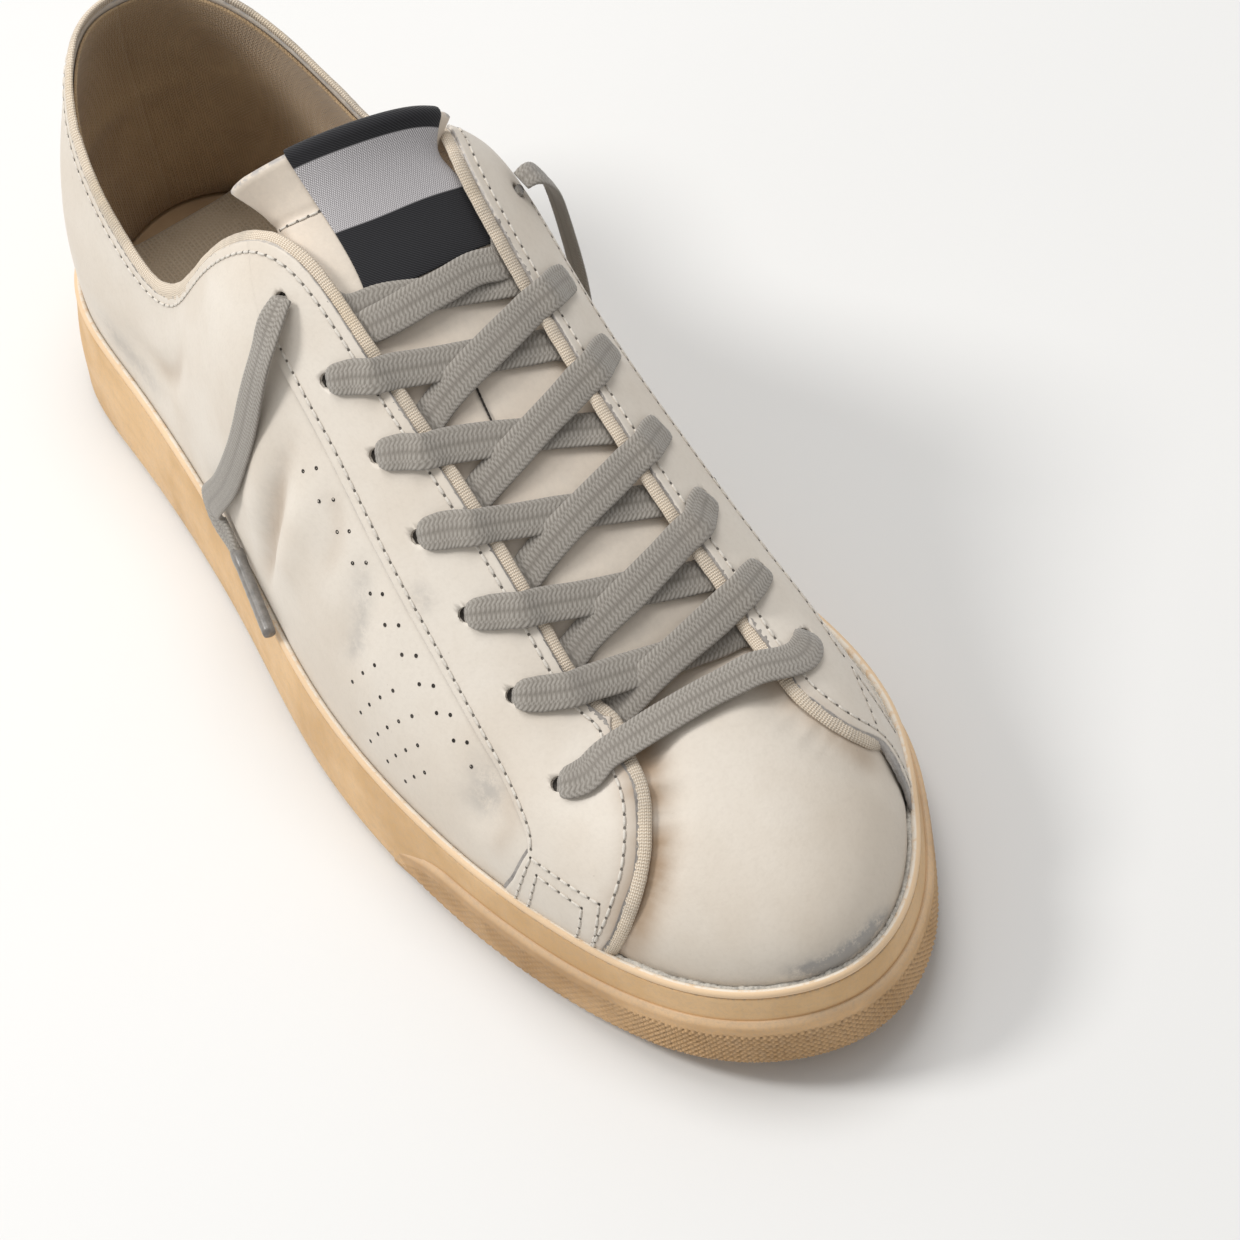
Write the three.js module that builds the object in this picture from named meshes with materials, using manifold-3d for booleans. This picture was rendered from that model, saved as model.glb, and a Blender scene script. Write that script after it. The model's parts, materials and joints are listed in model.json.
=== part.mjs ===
// A worn right sneaker that stands empty on its sole: rubber outsole, foxing band and toe bumper, a loose
// insole, a hollow leather upper, a leather tongue and a flat cotton lace with two loose ends.
// Millimetres. While the pieces are made, x runs from the heel (0) to the toe tip, +y is the medial side,
// -y the lateral side and +z is up. At the end the shoe is centred over the origin.
import * as THREE from "three";
import { mergeVertices } from "three/addons/utils/BufferGeometryUtils.js";
import Module from "manifold-3d";

const wasm = await Module();
wasm.setup();

// ---- driving dimensions ---------------------------------------------------------------------------------
const GAP = 0.3; // between pieces that touch
const HEEL_POINT = [0, 1];
const TOE_POINT = [292.9, -1.8];
// Outline of the sole at the ground: x, lateral y, medial y.
const OUTLINE = [
  [20, -33.3, 30.9],
  [55, -40.2, 36.9],
  [110, -45.9, 34.9],
  [155, -53.3, 40.8],
  [200, -53.1, 48.6],
  [235, -47.3, 47.6],
  [262, -38.6, 35.9],
  [283, -24.4, 20.0],
];
const SPRING_START = 205; // the sole leaves the ground here
const SPRING_RISE = 9; // and is this high SPRING_RUN further on
const SPRING_RUN = 95;
const SOLE_FORE = 12; // thickness of the outsole under the ball
const SOLE_HEEL = 17; // and under the heel
const ARCH_HEIGHT = 1.6; // hollow under the waist
const ARCH_FROM = 88;
const ARCH_TO = 158;
const BAND_FORE = 24.2; // height of the foxing at the forefoot
const BAND_HEEL = 31.7; // and at the heel
const BAND_LEAN = 2.1; // how far its outer face leans in
const BAND_INSIDE = 4.6; // its inner face, measured in from the outline
const BUMPER_THICK = 1.8;
const BUMPER_HIGH = 14.6;
const BUMPER_START_LATERAL = 186;
const BUMPER_START_MEDIAL = 214;
const BUMPER_TAPER = 22;
const WALL = 2; // leather and lining of the upper
const INSOLE_THICK = 4;
const TONGUE_THICK = 2.6;
const EYELET_RADIUS = 1.7;
const LACE_WIDE = 7.6;
const LACE_THICK = 1.5;
const AGLET_RADIUS = 1.5;
const RIBS_ROUND = 72; // ribs round the upper
const BAND_ROUND = 96; // steps round the sole pieces

// Ribs of the last: side (-1 lateral, 1 medial, 0 heel or toe), where the rib starts on the outline (x), the
// point of the collar or throat that it ends at (x, y, z), its pull there (x, y, z), its rise, its bulge.
const RIBS = [
  [-1, 0, 6, 0.5, 86, -5, 0, -24, 26, 2.5],
  [-1, 20, 17, -18, 84, -2, -6, -24, 26, 1.5],
  [-1, 38, 34, -26.5, 74, 0, -5, -20, 20, 1],
  [-1, 55, 56, -29.5, 65, 0, -4, -16, 16, 0.5],
  [-1, 80, 78, -28.5, 70, 0, -6, -18, 18, 0.5],
  [-1, 100, 94, -24.2, 93, 0, -12, -22, 24, 1],
  [-1, 112, 107, -20.5, 106, 0, -16, -20, 28, 1],
  [-1, 126, 119, -16.8, 109.5, 0, -19, -15, 32, 1],
  [-1, 150, 142, -15.5, 98.7, 0, -21, -13, 32, 1],
  [-1, 180, 174, -15.2, 81, 0, -21, -11, 26, 1],
  [-1, 205, 200, -16, 65.8, 2, -21, -9, 19, 1],
  [-1, 226, 216, -16.6, 56, 6, -21, -6, 15, 1],
  [-1, 244, 223, -13.5, 53.8, 13, -20, -5, 13, 1],
  [-1, 262, 222.5, -8.5, 56, 24, -17, -5, 13, 1],
  [-1, 281, 221.5, -3, 57.9, 36, -9, -6, 14, 1],
  [0, 293, 221, 3, 58.5, 41, -4, -7, 15, 1],
  [1, 281, 221.5, 8.5, 58.6, 36, 4, -7, 14, 1],
  [1, 262, 222.5, 14, 57.3, 26, 12.5, -6, 13, 0],
  [1, 246, 224, 19.6, 55.5, 14, 15, -5.5, 13, -4],
  [1, 230, 219, 22.6, 57.6, 5, 17, -6.5, 15, -6],
  [1, 205, 202, 22.2, 66.6, 1, 17.5, -9.5, 21, -4.5],
  [1, 180, 177, 21.7, 79.8, 0, 19, -12.5, 28, -2],
  [1, 150, 145, 22.6, 97.5, 0, 21.5, -16.5, 34, 1],
  [1, 128, 122, 24.6, 110.8, 0, 22.5, -18.5, 34, 3.5],
  [1, 114, 110, 27.6, 109, 0, 21, -21, 30, 4.5],
  [1, 100, 96, 29.8, 96.5, 0, 18, -22, 25, 5],
  [1, 80, 78, 32.5, 73, 0, 4, -18, 19, 0.5],
  [1, 55, 56, 32, 67, 0, 3, -16, 16, 0.5],
  [1, 38, 34, 28, 75, 0, 4, -20, 20, 1],
  [1, 20, 17, 19, 84, -2, 6, -24, 26, 1.5],
];
const UPRIGHT = 0.12; // share of each rib that stands upright behind the foxing

// Eyelets from the toe to the ankle: where their rib starts on the outline (x), and how far up it they are.
const EYELETS_LATERAL = [
  [234.9, 0.762],
  [211.8, 0.84],
  [194.4, 0.844],
  [178.9, 0.851],
  [163.8, 0.881],
  [147.8, 0.881],
  [130.4, 0.905],
];
const EYELETS_MEDIAL = [
  [238.4, 0.786],
  [216.1, 0.837],
  [196.6, 0.857],
  [181, 0.851],
  [163, 0.844],
  [149.5, 0.861],
  [132.1, 0.865],
];

// ---- curves ---------------------------------------------------------------------------------------------
const ease = (x) => {
  const s = Math.min(1, Math.max(0, x));
  return s * s * (3 - 2 * s);
};
const mix = (a, b, s) => a.map((v, i) => v + (b[i] - v) * s);
const add = (a, b, s = 1) => a.map((v, i) => v + b[i] * s);
const unit = (a) => {
  const size = Math.hypot(...a);
  return a.map((v) => v / size);
};
const cross = (a, b) => [a[1] * b[2] - a[2] * b[1], a[2] * b[0] - a[0] * b[2], a[0] * b[1] - a[1] * b[0]];

// A closed cubic spline through rows of numbers, smooth to the second derivative. Its slopes are relaxed
// from zero until they settle. The knots have one entry more than the rows, for the end of the loop.
function loopSpline(knots, rows) {
  const count = rows.length;
  const step = rows.map((_, i) => knots[i + 1] - knots[i]);
  const slope = rows.map((row) => row.map(() => 0));
  for (let pass = 0; pass < 80; pass++)
    for (let i = 0; i < count; i++) {
      const before = (i + count - 1) % count;
      const after = (i + 1) % count;
      const a = 1 / step[before];
      const c = 1 / step[i];
      for (let k = 0; k < rows[i].length; k++) {
        const pull = 3 * ((rows[i][k] - rows[before][k]) * a * a + (rows[after][k] - rows[i][k]) * c * c);
        slope[i][k] = (pull - a * slope[before][k] - c * slope[after][k]) / (2 * (a + c));
      }
    }
  const period = knots[count] - knots[0];
  return (t) => {
    const place = ((((t - knots[0]) % period) + period) % period) + knots[0];
    let i = 0;
    while (i < count - 1 && knots[i + 1] <= place) i++;
    const s = (place - knots[i]) / step[i];
    const after = (i + 1) % count;
    return rows[i].map(
      (v, k) =>
        (2 * s ** 3 - 3 * s ** 2 + 1) * v +
        (s ** 3 - 2 * s ** 2 + s) * step[i] * slope[i][k] +
        (3 * s ** 2 - 2 * s ** 3) * rows[after][k] +
        (s ** 3 - s ** 2) * step[i] * slope[after][k],
    );
  };
}

const outlinePoints = [
  HEEL_POINT,
  ...OUTLINE.map(([x, lateral]) => [x, lateral]),
  TOE_POINT,
  ...OUTLINE.map(([x, , medial]) => [x, medial]).reverse(),
];
const outlineKnots = [0];
outlinePoints.forEach((p, i) => {
  const q = outlinePoints[(i + 1) % outlinePoints.length];
  outlineKnots.push(outlineKnots[i] + Math.sqrt(Math.hypot(q[0] - p[0], q[1] - p[1])));
});
const AT_TOE = outlineKnots[OUTLINE.length + 1];
const AT_END = outlineKnots[outlinePoints.length];
const outline = loopSpline(outlineKnots, outlinePoints);

// The direction out of the outline, flat on the ground.
function outward(t) {
  const a = outline(t - 0.001);
  const b = outline(t + 0.001);
  return unit([b[1] - a[1], a[0] - b[0]]);
}

// The place on the outline where it passes x on one side.
function station(side, x) {
  if (side === 0) return AT_TOE;
  let low = side < 0 ? 0 : AT_END;
  let high = AT_TOE;
  for (let i = 0; i < 50; i++) {
    const middle = (low + high) / 2;
    if (outline(middle)[0] < x) low = middle;
    else high = middle;
  }
  return (low + high) / 2;
}

const spring = (x) => (x > SPRING_START ? SPRING_RISE * ((x - SPRING_START) / SPRING_RUN) ** 2 : 0);
const bandTop = (x) => BAND_FORE + spring(x) + (BAND_HEEL - BAND_FORE) * Math.max(0, (180 - x) / 180) ** 1.5;
const soleTop = (x) => SOLE_FORE + (SOLE_HEEL - SOLE_FORE) * ease((150 - x) / 110) + spring(x);
const arch = (x) => {
  const s = (x - ARCH_FROM) / (ARCH_TO - ARCH_FROM);
  return s > 0 && s < 1 ? ARCH_HEIGHT * Math.sin(Math.PI * s) ** 2 : 0;
};

// ---- the last -------------------------------------------------------------------------------------------
const ribKnots = RIBS.map(([side, x]) => (x === 0 ? 0 : station(side, x)));
const ribAt = loopSpline(
  [...ribKnots, AT_END],
  RIBS.map((row) => row.slice(2)),
);

// A point of the upper's outer face: t runs round the outline, v up the rib from 0 to 1.
function outer(t, v) {
  const foot = outline(t);
  const out = outward(t);
  const [endX, endY, endZ, pullX, pullY, pullZ, rise, bulge] = ribAt(t);
  const x = foot[0] - out[0] * (BAND_INSIDE + GAP);
  const y = foot[1] - out[1] * (BAND_INSIDE + GAP);
  const low = soleTop(foot[0]) + GAP;
  const high = bandTop(foot[0]) - 1.5;
  if (v < UPRIGHT) return [x, y, low + ((high - low) * v) / UPRIGHT];
  const s = (v - UPRIGHT) / (1 - UPRIGHT);
  const a = [x, y, high];
  const b = [x + out[0] * bulge, y + out[1] * bulge, high + rise];
  const c = [endX + pullX, endY + pullY, endZ + pullZ];
  const d = [endX, endY, endZ];
  return a.map(
    (_, k) => (1 - s) ** 3 * a[k] + 3 * (1 - s) ** 2 * s * b[k] + 3 * (1 - s) * s * s * c[k] + s ** 3 * d[k],
  );
}

// The direction out of the upper's outer face.
function outerNormal(t, v) {
  const nudge = 0.004;
  const back = Math.max(0, v - nudge);
  const front = Math.min(1, v + nudge);
  const along = add(outer(t + nudge, v), outer(t - nudge, v), -1);
  const up = add(outer(t, front), outer(t, back), -1);
  return unit(cross(along, up));
}
const lifted = (t, v, height) => add(outer(t, v), outerNormal(t, v), height);

// ---- mesh helpers ---------------------------------------------------------------------------------------
function geometryOf(points, faces) {
  const geometry = new THREE.BufferGeometry();
  geometry.setAttribute("position", new THREE.Float32BufferAttribute(points.flat(), 3));
  geometry.setIndex(faces.flat());
  return geometry;
}

// Quads between rows of points, each row as long as the others, closed along the row, along the column or both.
function quads(rows, columns, closedRows, closedColumns, start = 0) {
  const faces = [];
  for (let i = 0; i < (closedRows ? rows : rows - 1); i++)
    for (let j = 0; j < (closedColumns ? columns : columns - 1); j++) {
      const a = start + i * columns + j;
      const b = start + i * columns + ((j + 1) % columns);
      const c = start + ((i + 1) % rows) * columns + ((j + 1) % columns);
      const d = start + ((i + 1) % rows) * columns + j;
      faces.push([a, b, c], [a, c, d]);
    }
  return faces;
}

// A ring: the same closed section at each step round the outline.
function ringOf(steps, sectionAt) {
  const sections = steps.map(sectionAt);
  return geometryOf(sections.flat(), quads(sections.length, sections[0].length, true, true));
}

// A bar: closed sections from end to end, with flat ends.
function barOf(sections) {
  const size = sections[0].length;
  const faces = quads(sections.length, size, false, true);
  const last = (sections.length - 1) * size;
  for (let j = 1; j < size - 1; j++) {
    faces.push([0, j + 1, j]);
    faces.push([last, last + j, last + j + 1]);
  }
  return geometryOf(sections.flat(), faces);
}

// A sheet with thickness: a grid of points and, behind it, the same grid moved along the grid's normals.
function sheetOf(grid, thickness) {
  const rows = grid.length;
  const columns = grid[0].length;
  const normalAt = (i, j) => {
    const along = add(grid[Math.min(i + 1, rows - 1)][j], grid[Math.max(i - 1, 0)][j], -1);
    const over = add(grid[i][Math.min(j + 1, columns - 1)], grid[i][Math.max(j - 1, 0)], -1);
    return unit(cross(over, along));
  };
  const sections = grid.map((row, i) => {
    const under = row.map((p, j) => add(p, normalAt(i, j), -thickness));
    return [...row, ...under.reverse()];
  });
  return barOf(sections.map((section) => section.reverse()));
}

function solidOf(geometry) {
  const bare = new THREE.BufferGeometry();
  bare.setAttribute("position", geometry.getAttribute("position").clone());
  if (geometry.index) bare.setIndex(geometry.index.clone());
  const merged = mergeVertices(bare, 1e-4);
  const solid = new wasm.Manifold(
    new wasm.Mesh({
      numProp: 3,
      vertProperties: new Float32Array(merged.attributes.position.array),
      triVerts: new Uint32Array(merged.index.array),
    }),
  );
  if (solid.volume() >= 0) return solid;
  const turned = Array.from(merged.index.array);
  for (let i = 0; i < turned.length; i += 3) [turned[i + 1], turned[i + 2]] = [turned[i + 2], turned[i + 1]];
  merged.setIndex(turned);
  return solidOf(merged);
}

function geometryOfSolid(solid) {
  const mesh = solid.getMesh();
  const points = [];
  for (let i = 0; i < mesh.numVert; i++)
    points.push(Array.from(mesh.vertProperties.slice(i * mesh.numProp, i * mesh.numProp + 3)));
  const faces = [];
  for (let i = 0; i < mesh.numTri; i++) faces.push(Array.from(mesh.triVerts.slice(i * 3, i * 3 + 3)));
  return geometryOf(points, faces);
}

// ---- materials ------------------------------------------------------------------------------------------
const rubber = new THREE.MeshStandardMaterial({ color: 0xdcbc8e, roughness: 0.75, metalness: 0 });
const bumperRubber = new THREE.MeshStandardMaterial({ color: 0xcfa877, roughness: 0.85, metalness: 0 });
const leather = new THREE.MeshStandardMaterial({ color: 0xe2dbd0, roughness: 0.6, metalness: 0 });
const footbed = new THREE.MeshStandardMaterial({ color: 0xc9b79c, roughness: 0.85, metalness: 0 });
const cotton = new THREE.MeshStandardMaterial({ color: 0xa09b96, roughness: 0.9, metalness: 0 });
const aglet = new THREE.MeshStandardMaterial({ color: 0x6d6a66, roughness: 0.4, metalness: 0 });

const shoe = new THREE.Group();
function place(name, geometry, material) {
  geometry.computeVertexNormals();
  const mesh = new THREE.Mesh(geometry, material);
  mesh.name = name;
  shoe.add(mesh);
  return mesh;
}

// Steps round the outline, closer together where it turns.
const around = (count) => Array.from({ length: count }, (_, i) => (AT_END * i) / count);
// A point in from the outline by some distance, at a height.
function inFrom(t, distance, z) {
  const p = outline(t);
  const out = outward(t);
  return [p[0] - out[0] * distance, p[1] - out[1] * distance, z];
}

// ---- outsole --------------------------------------------------------------------------------------------
// A slab inside the foxing, flat under heel and ball, hollow under the arch, with toe spring. Grooves across
// the bottom and a ring groove leave the lugs standing.
const GROOVE_DEEP = 1.8;
const GROOVE_WIDE = 2.6;
const GROOVE_PITCH = 11;
const OUTSOLE_INSIDE = BAND_INSIDE + GAP;
function outsoleBody() {
  const steps = around(BAND_ROUND);
  const rims = [
    [OUTSOLE_INSIDE + 1.2, (x) => spring(x) + arch(x)],
    [OUTSOLE_INSIDE, (x) => spring(x) + arch(x) + 1.2],
    [OUTSOLE_INSIDE, soleTop],
  ];
  const points = [];
  for (const [distance, height] of rims)
    for (const t of steps) {
      const [x, y] = inFrom(t, distance, 0);
      points.push([x, y, height(x)]);
    }
  const faces = quads(rims.length, steps.length, false, true);
  // Each flat face is closed by strips across the sole, from the lateral to the medial side.
  const half = steps.length / 2;
  const strip = (base, up) => {
    for (let i = 0; i < half; i++) {
      const a = base + i;
      const b = base + i + 1;
      const c = base + ((2 * half - i - 1) % (2 * half));
      const d = base + ((2 * half - i) % (2 * half));
      const pair = [
        [a, b, c],
        [a, c, d],
      ].filter((f) => new Set(f).size === 3);
      for (const f of pair) faces.push(up ? f : [f[0], f[2], f[1]]);
    }
  };
  strip(0, false);
  strip((rims.length - 1) * steps.length, true);
  return solidOf(geometryOf(points, faces));
}
function outsole() {
  let body = outsoleBody();
  for (let x = 18; x < 284; x += GROOVE_PITCH) {
    if (x > ARCH_FROM && x < ARCH_TO) continue;
    const groove = new THREE.BoxGeometry(GROOVE_WIDE, 120, 2 * GROOVE_DEEP);
    groove.rotateY(-Math.atan2(spring(x + 1) - spring(x), 1));
    groove.translate(x, 0, spring(x) + arch(x));
    body = body.subtract(solidOf(groove));
  }
  return geometryOfSolid(body);
}
place("outsole", outsole(), rubber);

// ---- foxing and toe bumper ------------------------------------------------------------------------------
// The bumper's share at a place on the outline: 0 where there is none, 1 at its full size.
function bumperShare(t) {
  const x = outline(t)[0];
  const start = t < AT_TOE ? BUMPER_START_LATERAL : BUMPER_START_MEDIAL;
  return ease((x - start) / BUMPER_TAPER);
}
function foxingSection(t) {
  const x = outline(t)[0];
  const low = spring(x) + 0.6;
  const top = bandTop(x);
  const foot = BUMPER_THICK * bumperShare(t);
  const lean = Math.max(BAND_LEAN, foot + 0.3);
  return [
    inFrom(t, foot + 1.6, low),
    inFrom(t, foot, low + 1.9),
    inFrom(t, foot + (lean - foot) * 0.35, low + (top - low) * 0.55),
    inFrom(t, lean, top - 1.2),
    inFrom(t, lean + 0.7, top),
    inFrom(t, BAND_INSIDE, top - 0.4),
    inFrom(t, BAND_INSIDE, low),
  ].reverse();
}
place("foxing", geometryOfSolid(solidOf(ringOf(around(BAND_ROUND), foxingSection))), rubber);

function bumper() {
  const from = station(-1, BUMPER_START_LATERAL + 6);
  const to = station(1, BUMPER_START_MEDIAL + 6);
  const count = 56;
  const sections = [];
  for (let i = 0; i <= count; i++) {
    const t = from + ((to - from) * i) / count;
    const x = outline(t)[0];
    const share = bumperShare(t);
    const low = spring(x) + 0.6;
    const high = spring(x) + 3.2 + (BUMPER_HIGH - 3.2) * Math.sqrt(share);
    const foot = BUMPER_THICK * share;
    const behind = (z) => foot + ((Math.max(BAND_LEAN, foot + 0.3) - foot) * 0.35 * (z - low)) / 14 - GAP;
    sections.push([
      inFrom(t, Math.min(1.4, foot) * 0.75, low + 0.1),
      inFrom(t, 0, low + 1.9),
      inFrom(t, 0.2, high - 0.9),
      inFrom(t, Math.min(0.9, behind(high) * 0.8), high),
      inFrom(t, behind(high), high),
      inFrom(t, behind(low + 1.9), low + 1.9),
      inFrom(t, Math.max(behind(low), 0.1) + 0.02, low + 0.1 + 1.2),
    ]);
  }
  return geometryOfSolid(solidOf(barOf(sections)));
}
place("toe_bumper", bumper(), bumperRubber);

// ---- upper ----------------------------------------------------------------------------------------------
// One closed shell: the outer face, and the inner face a wall's thickness behind it.
function upper() {
  const levels = [0, 0.12, 0.22, 0.34, 0.46, 0.58, 0.7, 0.8, 0.89, 0.95, 1];
  const sections = around(RIBS_ROUND).map((t) => [
    ...levels.map((v) => outer(t, v)),
    ...levels.map((v) => lifted(t, v, -WALL)).reverse(),
  ]);
  let body = solidOf(geometryOf(sections.flat(), quads(sections.length, sections[0].length, true, true)));
  for (const [side, rows] of [
    [-1, EYELETS_LATERAL],
    [1, EYELETS_MEDIAL],
  ])
    for (const [x, v] of rows) {
      const t = station(side, x);
      const punch = new THREE.CylinderGeometry(EYELET_RADIUS, EYELET_RADIUS, 8, 10);
      const turn = new THREE.Quaternion();
      turn.setFromUnitVectors(new THREE.Vector3(0, 1, 0), new THREE.Vector3(...outerNormal(t, v)));
      punch.applyQuaternion(turn);
      punch.translate(...outer(t, v));
      body = body.subtract(solidOf(punch));
    }
  return geometryOfSolid(body);
}
place("upper", upper(), leather);

// ---- insole ---------------------------------------------------------------------------------------------
function insole() {
  const inside = BAND_INSIDE + GAP + WALL + GAP;
  const steps = around(64);
  const rims = [
    [inside, (x) => soleTop(x) + GAP],
    [inside, (x) => soleTop(x) + GAP + INSOLE_THICK],
    [inside + 9, (x) => soleTop(x) + GAP + INSOLE_THICK - 0.8],
  ];
  const points = [];
  for (const [distance, height] of rims)
    for (const t of steps) {
      const [x, y] = inFrom(t, distance, 0);
      points.push([x, y, height(x)]);
    }
  const faces = quads(rims.length, steps.length, false, true);
  const half = steps.length / 2;
  for (const [base, up] of [
    [0, false],
    [2 * steps.length, true],
  ])
    for (let i = 0; i < half; i++) {
      const a = base + i;
      const b = base + i + 1;
      const c = base + ((2 * half - i - 1) % (2 * half));
      const d = base + ((2 * half - i) % (2 * half));
      for (const f of [
        [a, b, c],
        [a, c, d],
      ])
        if (new Set(f).size === 3) faces.push(up ? f : [f[0], f[2], f[1]]);
    }
  return geometryOfSolid(solidOf(geometryOf(points, faces)));
}
place("insole", insole(), footbed);

// ---- tongue ---------------------------------------------------------------------------------------------
// Sections across the tongue. Under the flaps it follows the inside of the upper; between them it crowns.
const UNDER_FLAP = WALL + 0.7;
const TONGUE_COLUMNS = 9;
const TONGUE_FRONT_RIBS = [station(-1, 234), station(1, 235)];
const TONGUE_BACK_RIBS = [station(-1, 128), station(1, 131)];
const TONGUE_CROWN = 1.6;
const TONGUE_TUCK = 0.24; // how far it reaches under a flap, as a share of the rib
function tongueRow(s) {
  const [lateral, medial] = [0, 1].map(
    (i) => TONGUE_FRONT_RIBS[i] + (TONGUE_BACK_RIBS[i] - TONGUE_FRONT_RIBS[i]) * s,
  );
  const tuck = TONGUE_TUCK * (1 - 0.82 * ease((s - 0.6) / 0.4));
  const sink = 1.2 * (1 - ease(s / 0.15)); // it dips under the edge of the vamp
  const edgeA = lifted(lateral, 1, -UNDER_FLAP - sink);
  const edgeB = lifted(medial, 1, -UNDER_FLAP - sink);
  const across = [0.2, 0.5, 0.8].map((share) =>
    add(mix(edgeA, edgeB, share), [0.5, 0, 0.87], TONGUE_CROWN * 4 * share * (1 - share)),
  );
  return [
    lifted(lateral, 1 - tuck, -UNDER_FLAP - sink),
    lifted(lateral, 1 - tuck / 2, -UNDER_FLAP - sink),
    edgeA,
    ...across,
    edgeB,
    lifted(medial, 1 - tuck / 2, -UNDER_FLAP - sink),
    lifted(medial, 1 - tuck, -UNDER_FLAP - sink),
  ];
}
// The front end is tucked under the vamp and follows its arc.
function tongueFront() {
  const from = station(-1, 243);
  const to = station(1, 244);
  return Array.from({ length: TONGUE_COLUMNS }, (_, i) =>
    lifted(from + ((to - from) * i) / (TONGUE_COLUMNS - 1), 0.8, -UNDER_FLAP - 0.4),
  );
}
// Above the flaps it stands free: inside the collar's corners, then its top edge.
const TONGUE_NECK = [
  [106.5, -14.5, 106.5],
  [107.5, -13.8, 109.3],
  [109.5, -10.5, 112],
  [111.5, -4, 114.8],
  [113, 4, 116.2],
  [114.5, 12, 116.2],
  [116, 18.5, 114.5],
  [116.5, 21.5, 111.5],
  [115.5, 22, 108.5],
];
const TONGUE_TOP = [
  [99.5, -18.5, 113],
  [101, -16.5, 115.8],
  [103, -12, 118.5],
  [105.5, -5, 121],
  [108.5, 4, 122.5],
  [111, 13, 122.5],
  [112.5, 20.5, 120.8],
  [113, 25, 118],
  [112.5, 27.5, 115],
];
const tongueRows = [
  tongueFront(),
  ...[0.05, 0.15, 0.26, 0.38, 0.51, 0.64, 0.77, 0.89, 1].map(tongueRow),
  TONGUE_NECK,
  TONGUE_TOP,
];
place("tongue", geometryOfSolid(solidOf(sheetOf(tongueRows, TONGUE_THICK))), leather);

// ---- lace -----------------------------------------------------------------------------------------------
// A flat ribbon along a smooth path. Each point of the path comes with the direction the ribbon faces.
function ribbon(path, wide = LACE_WIDE, thick = LACE_THICK) {
  const line = new THREE.CatmullRomCurve3(
    path.map(({ at }) => new THREE.Vector3(...at)),
    false,
    "centripetal",
  );
  const face = new THREE.CatmullRomCurve3(
    path.map(({ up }) => new THREE.Vector3(...up)),
    false,
    "centripetal",
  );
  const steps = (path.length - 1) * 2;
  const sections = [];
  for (let i = 0; i <= steps; i++) {
    const centre = line.getPoint(i / steps).toArray();
    const forward = unit(line.getTangent(i / steps).toArray());
    const side = unit(cross(forward, face.getPoint(i / steps).toArray()));
    const up = cross(side, forward);
    const corner = (a, b) => add(add(centre, side, (a * wide) / 2), up, (b * thick) / 2);
    sections.push([
      corner(-1, -0.4),
      corner(-0.8, -1),
      corner(0.8, -1),
      corner(1, -0.4),
      corner(1, 0.4),
      corner(0.8, 1),
      corner(-0.8, 1),
      corner(-1, 0.4),
    ]);
  }
  return solidOf(barOf(sections));
}

const eyelet = (side, row) => {
  const [x, v] = (side < 0 ? EYELETS_LATERAL : EYELETS_MEDIAL)[row];
  return { t: station(side, x), v };
};
// A place over the flap of one side, near an eyelet row: how far up the rib, and how high above the leather.
const overFlap = (side, row, v, height) => {
  const whole = Math.floor(row);
  const t = eyelet(side, whole).t;
  const next = eyelet(side, Math.min(whole + 1, 6)).t;
  const between = t + (next - t) * (row - whole);
  return { at: lifted(between, v, height), up: outerNormal(between, v) };
};
// A place over the tongue between the two throat edges, as a share of the way from lateral to medial.
const overTongue = (rowLateral, rowMedial, share, height) => {
  const a = overFlap(-1, rowLateral, 1, 0);
  const b = overFlap(1, rowMedial, 1, 0);
  const p = mix(a.at, b.at, share);
  const up = unit(mix(a.up, b.up, share));
  return { at: add(p, up, TONGUE_CROWN * 4 * share * (1 - share) + height - UNDER_FLAP), up };
};
const ON_LEATHER = LACE_THICK / 2 + 0.55;
function laceBar() {
  return ribbon([
    overFlap(-1, 0, EYELETS_LATERAL[0][1] + 0.07, ON_LEATHER),
    overFlap(-1, 0, 0.93, ON_LEATHER + 0.7),
    overTongue(0, 0, 0.2, 6.6),
    overTongue(0, 0, 0.5, 7.4),
    overTongue(0, 0, 0.8, 6.6),
    overFlap(1, 0, 0.93, ON_LEATHER + 0.7),
    overFlap(1, 0, EYELETS_MEDIAL[0][1] + 0.07, ON_LEATHER),
  ]);
}
// A strand from inside the throat at one row, over the other flap, to the next eyelet up.
function strand(side, row, height) {
  const span = (share) => {
    const along = row + 0.33 + 0.57 * share;
    return overTongue(along, along, side < 0 ? share : 1 - share, height * Math.sin(Math.PI * share) + 1.6 + 1.9 * share);
  };
  const far = -side;
  const [, v] = (far < 0 ? EYELETS_LATERAL : EYELETS_MEDIAL)[row + 1];
  return ribbon([
    span(0.26),
    span(0.4),
    span(0.55),
    span(0.78),
    overFlap(far, row + 0.9, 0.985, ON_LEATHER + 0.7),
    overFlap(far, row + 0.95, (v + 1) / 2 + 0.02, ON_LEATHER + 0.2),
    overFlap(far, row + 1, v + 0.06, ON_LEATHER),
  ]);
}
place("lace_bar", geometryOfSolid(laceBar()), cotton);
const CROSSINGS = 5;
for (let row = 0; row < CROSSINGS; row++) {
  const pair = strand(-1, row, 2.2).add(strand(1, row, 1.4));
  place(`lace_crossing_${row + 1}`, geometryOfSolid(pair), cotton);
}
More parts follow.
